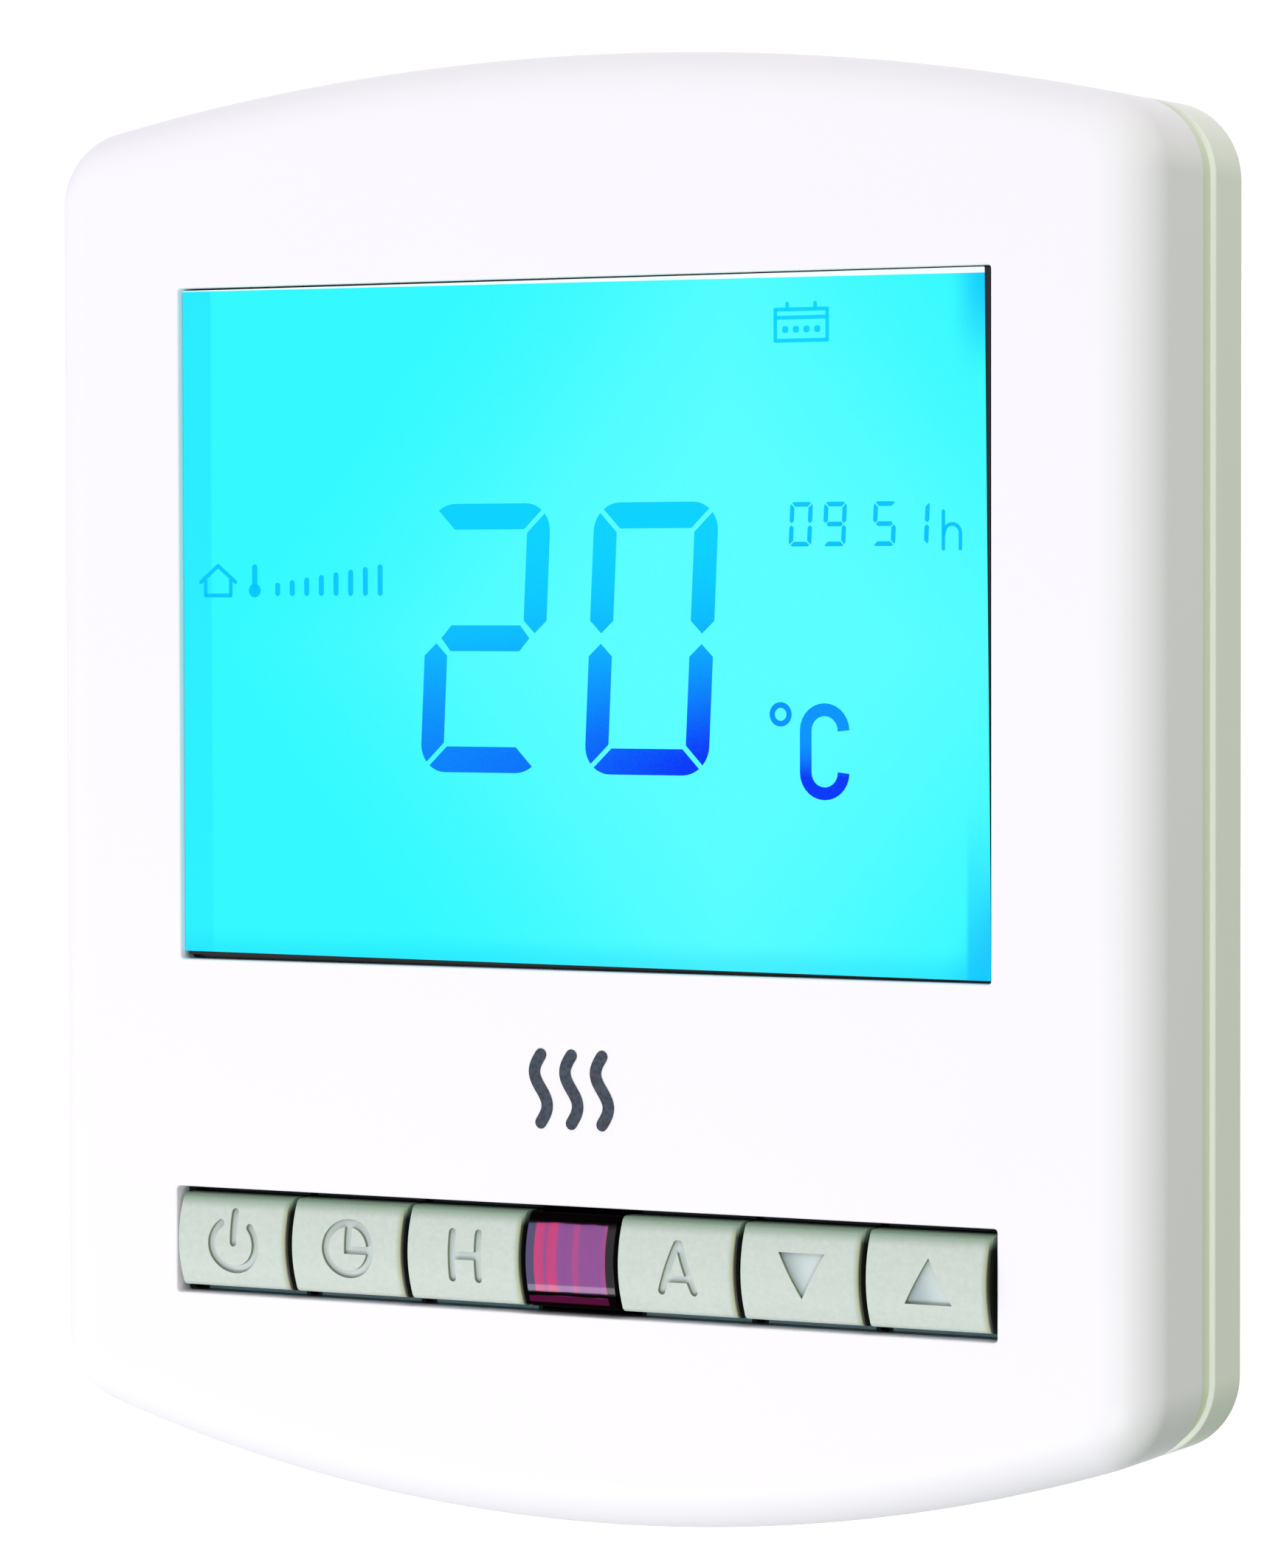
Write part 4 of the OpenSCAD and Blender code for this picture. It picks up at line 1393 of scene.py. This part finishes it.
def dipped(name, low, high, roughness=0.3):
    """Dipped or cast resin: glossy, a little wavy, with a drift of colour."""
    finish = Finish(name, low, roughness, Coat_Weight=0.3)
    waves = finish.noise(0.7, detail=2)
    specks = finish.noise(5, detail=3)
    finish.set("Base Color", finish.mix(waves, low, high))
    finish.set("Roughness", specks * 0.14 + (roughness - 0.07))
    finish.bump(waves * 0.7 + specks * 0.1, 0.08)
    return finish


def ceramic():
    """Small ceramic parts with their tinned ends."""
    finish = Finish("capacitor_tan", paint(156, 124, 84), 0.5)
    grain = finish.noise(6, detail=3)
    finish.set("Base Color", finish.mix(grain, paint(142, 110, 72), paint(174, 142, 100)))
    finish.set("Roughness", grain * 0.2 + 0.35)
    finish.bump(grain, 0.01)
    return finish


def film_sheet(name, low, high, roughness):
    """Thin plastic film, drawn along its length."""
    finish = Finish(name, low, roughness)
    drawn = finish.noise(2, detail=2, stretch=(0.05, 1, 1))
    finish.set("Base Color", finish.mix(drawn, low, high))
    finish.set("Roughness", drawn * 0.1 + (roughness - 0.05))
    return finish


black_resin = dipped("receiver_black", paint(16, 12, 16), paint(30, 22, 28), 0.16)
tin = metal("tinned_metal", paint(212, 212, 210), 0.3)
connector = moulded("connector_black", paint(30, 30, 32), 0.4, depth=0.012, drift=0.2)
terminal = moulded("terminal_green", paint(38, 118, 68), 0.4, grain=4, depth=0.012, drift=0.1)
inside = {
    "cover_screw control_board_screws power_board_screws terminal_screws": turned_steel(),
    "display_front_glass display_rear_glass": bordered_glass(),
    "rear_polariser": film_sheet("polariser_film", paint(104, 118, 118), paint(120, 134, 134), 0.2),
    "diffuser_film": film_sheet("diffuser_film", paint(236, 240, 244), paint(246, 248, 250), 0.55),
    "light_guide": printed_guide(),
    "reflector_sheet": film_sheet("reflector_white", paint(240, 240, 240), paint(250, 250, 250), 0.4),
    "display_frame": moulded("frame_white", paint(232, 232, 228), 0.45, grain=5, depth=0.01),
    "contact_strips": zebra_rubber(),
    "backlight_leds": led_dome(),
    "key_frame": frame_plastic(),
    "infrared_receiver temperature_sensor": black_resin,
    "control_board power_board": solder_mask(),
    "switch_bodies": moulded("switch_black", paint(36, 36, 38), 0.45, depth=0.01, drift=0.2),
    "switch_domes": metal("dome_steel", paint(208, 208, 210), 0.25),
    "microcontroller memory_chip rectifier board_resistors": chip_case(),
    "microcontroller_legs clock_crystal battery_clip fuse_caps": tin,
    "board_capacitors": ceramic(),
    "backup_battery": battery_case(),
    "header_strip board_socket": connector,
    "header_pins": metal("contact_gold", paint(222, 188, 96), 0.24),
    "relay": moulded("relay_blue", paint(40, 76, 160), 0.32, grain=3, depth=0.015, drift=0.12),
    "transformer_core": sintered_ferrite(),
    "transformer_winding": wound_tape(),
    "suppression_capacitor": dipped("capacitor_yellow", paint(220, 172, 26), paint(234, 192, 54)),
    "smoothing_capacitors": shrink_sleeve(),
    "fuse_tube": fuse_glass(),
    "varistor": dipped("varistor_blue", paint(30, 84, 150), paint(48, 108, 176), 0.35),
    "terminal_block": terminal,
    "terminal_clamps": metal("terminal_brass", paint(214, 180, 104), 0.3),
}
for name in key_names:
    inside[name + "_plunger"] = inside["switch_bodies"]


def dress(node, finish):
    """Gives a CAD node its finish, small round edges and even shading."""
    node.data.materials.clear()
    node.data.materials.append(finish.material)
    edges = node.modifiers.new("edges", "BEVEL")
    edges.width = 0.08 * MM
    edges.segments = 2
    edges.limit_method = "ANGLE"
    edges.angle_limit = radians(40)
    node.modifiers.new("shading", "WEIGHTED_NORMAL").keep_sharp = True


for names, finish in inside.items():
    for name in names.split():
        dress(nodes[name], finish)

# ---------------------------------------------------------------- camera, light and floor


def place_camera():
    """Looks at the front from the right, a little above."""
    aim = Vector((5.45, front_y, 0.7)) * MM
    distance, azimuth, elevation, roll = 0.4048, radians(27.84), radians(1.927), radians(-0.13)
    out = Vector((sin(azimuth) * cos(elevation), -cos(azimuth) * cos(elevation), sin(elevation)))
    bpy.ops.object.camera_add(location=aim + out * distance)
    camera = started()
    camera.rotation_mode = "QUATERNION"
    level = (-out).to_track_quat("-Z", "Y")
    camera.rotation_quaternion = level @ Matrix.Rotation(roll, 3, "Z").to_quaternion()
    camera.data.lens = 135.66
    camera.data.sensor_width = 36
    camera.data.clip_start = 0.01
    bpy.context.scene.camera = camera


def strip_light(name, place, length, height, power):
    """A long thin light low in front, which draws a bright line along the crowned keys."""
    bpy.ops.object.light_add(type="AREA", location=place)
    light = started()
    light.name = name
    light.data.shape = "RECTANGLE"
    light.data.size = length
    light.data.size_y = height
    light.data.energy = power
    aim = Vector((0, front_y, keys_z)) * MM
    light.rotation_euler = (Vector(place) - aim).to_track_quat("Z", "Y").to_euler()


def sky():
    """White surroundings whose light leaves the lower right dark and greenish."""
    world = bpy.data.worlds.new("studio")
    bpy.context.scene.world = world
    world.use_nodes = True
    studio = Nodes(world.node_tree)
    studio.tree.nodes.clear()
    x, y, z = studio.split(studio.node("ShaderNodeTexCoord", out="Generated"))
    right = studio.between(x, -0.3, 0.9, 0, 1)
    colour = studio.mix(right, (1.0, 0.985, 1.04), (1.0, 1.0, 0.9))
    shade = studio.between(x, -0.26, 0.04, 0, 1) * studio.between(z, -0.22, 0.36, 1, 0)
    colour = studio.mix(shade, colour, (0.0, 0.06, 0.0))
    low = studio.between(z, -0.9, -0.1, 1.06, 1)
    light = studio.node("ShaderNodeBackground", {}, {"Color": colour, "Strength": low * 0.965})
    white = studio.node("ShaderNodeBackground", {}, {"Color": (1.0, 1.0, 1.0), "Strength": 1.05})
    seen = studio.node("ShaderNodeLightPath", out="Is Camera Ray")
    both = studio.node("ShaderNodeMixShader", {}, {0: seen, 1: light, 2: white})
    studio.node("ShaderNodeOutputWorld", {}, {"Surface": both}, out=None)


def soft_sun():
    """A very soft sun from in front, low and a little to the right."""
    bpy.ops.object.light_add(type="SUN")
    sun = started()
    sun.name = "soft_sun"
    sun.data.angle = radians(35)
    sun.data.energy = 1.35
    turned, lifted = radians(27.8), radians(-27.5)
    out = Vector((sin(turned) * cos(lifted), -cos(turned) * cos(lifted), sin(lifted)))
    sun.rotation_euler = out.to_track_quat("Z", "Y").to_euler()


def pale_floor():
    """Pale floor that fades into the surroundings and doesn't light the object."""
    bpy.ops.mesh.primitive_plane_add(size=6, location=(0, 0, -0.16))
    floor = started()
    floor.name = "floor"
    finish = Finish("floor_white", (0.9, 0.9, 0.9), 0.9)
    finish.set("Emission Color", (1.0, 1.0, 1.0))
    finish.set("Emission Strength", 0.3)
    floor.data.materials.append(finish.material)
    floor.visible_diffuse = False
    floor.visible_glossy = False
    floor.visible_shadow = False


place_camera()
sky()
pale_floor()
soft_sun()
strip_light("low_strip", (-0.12, -0.2, -0.186), 0.3, 0.03, 0.12)
bpy.context.scene.view_settings.view_transform = "Standard"
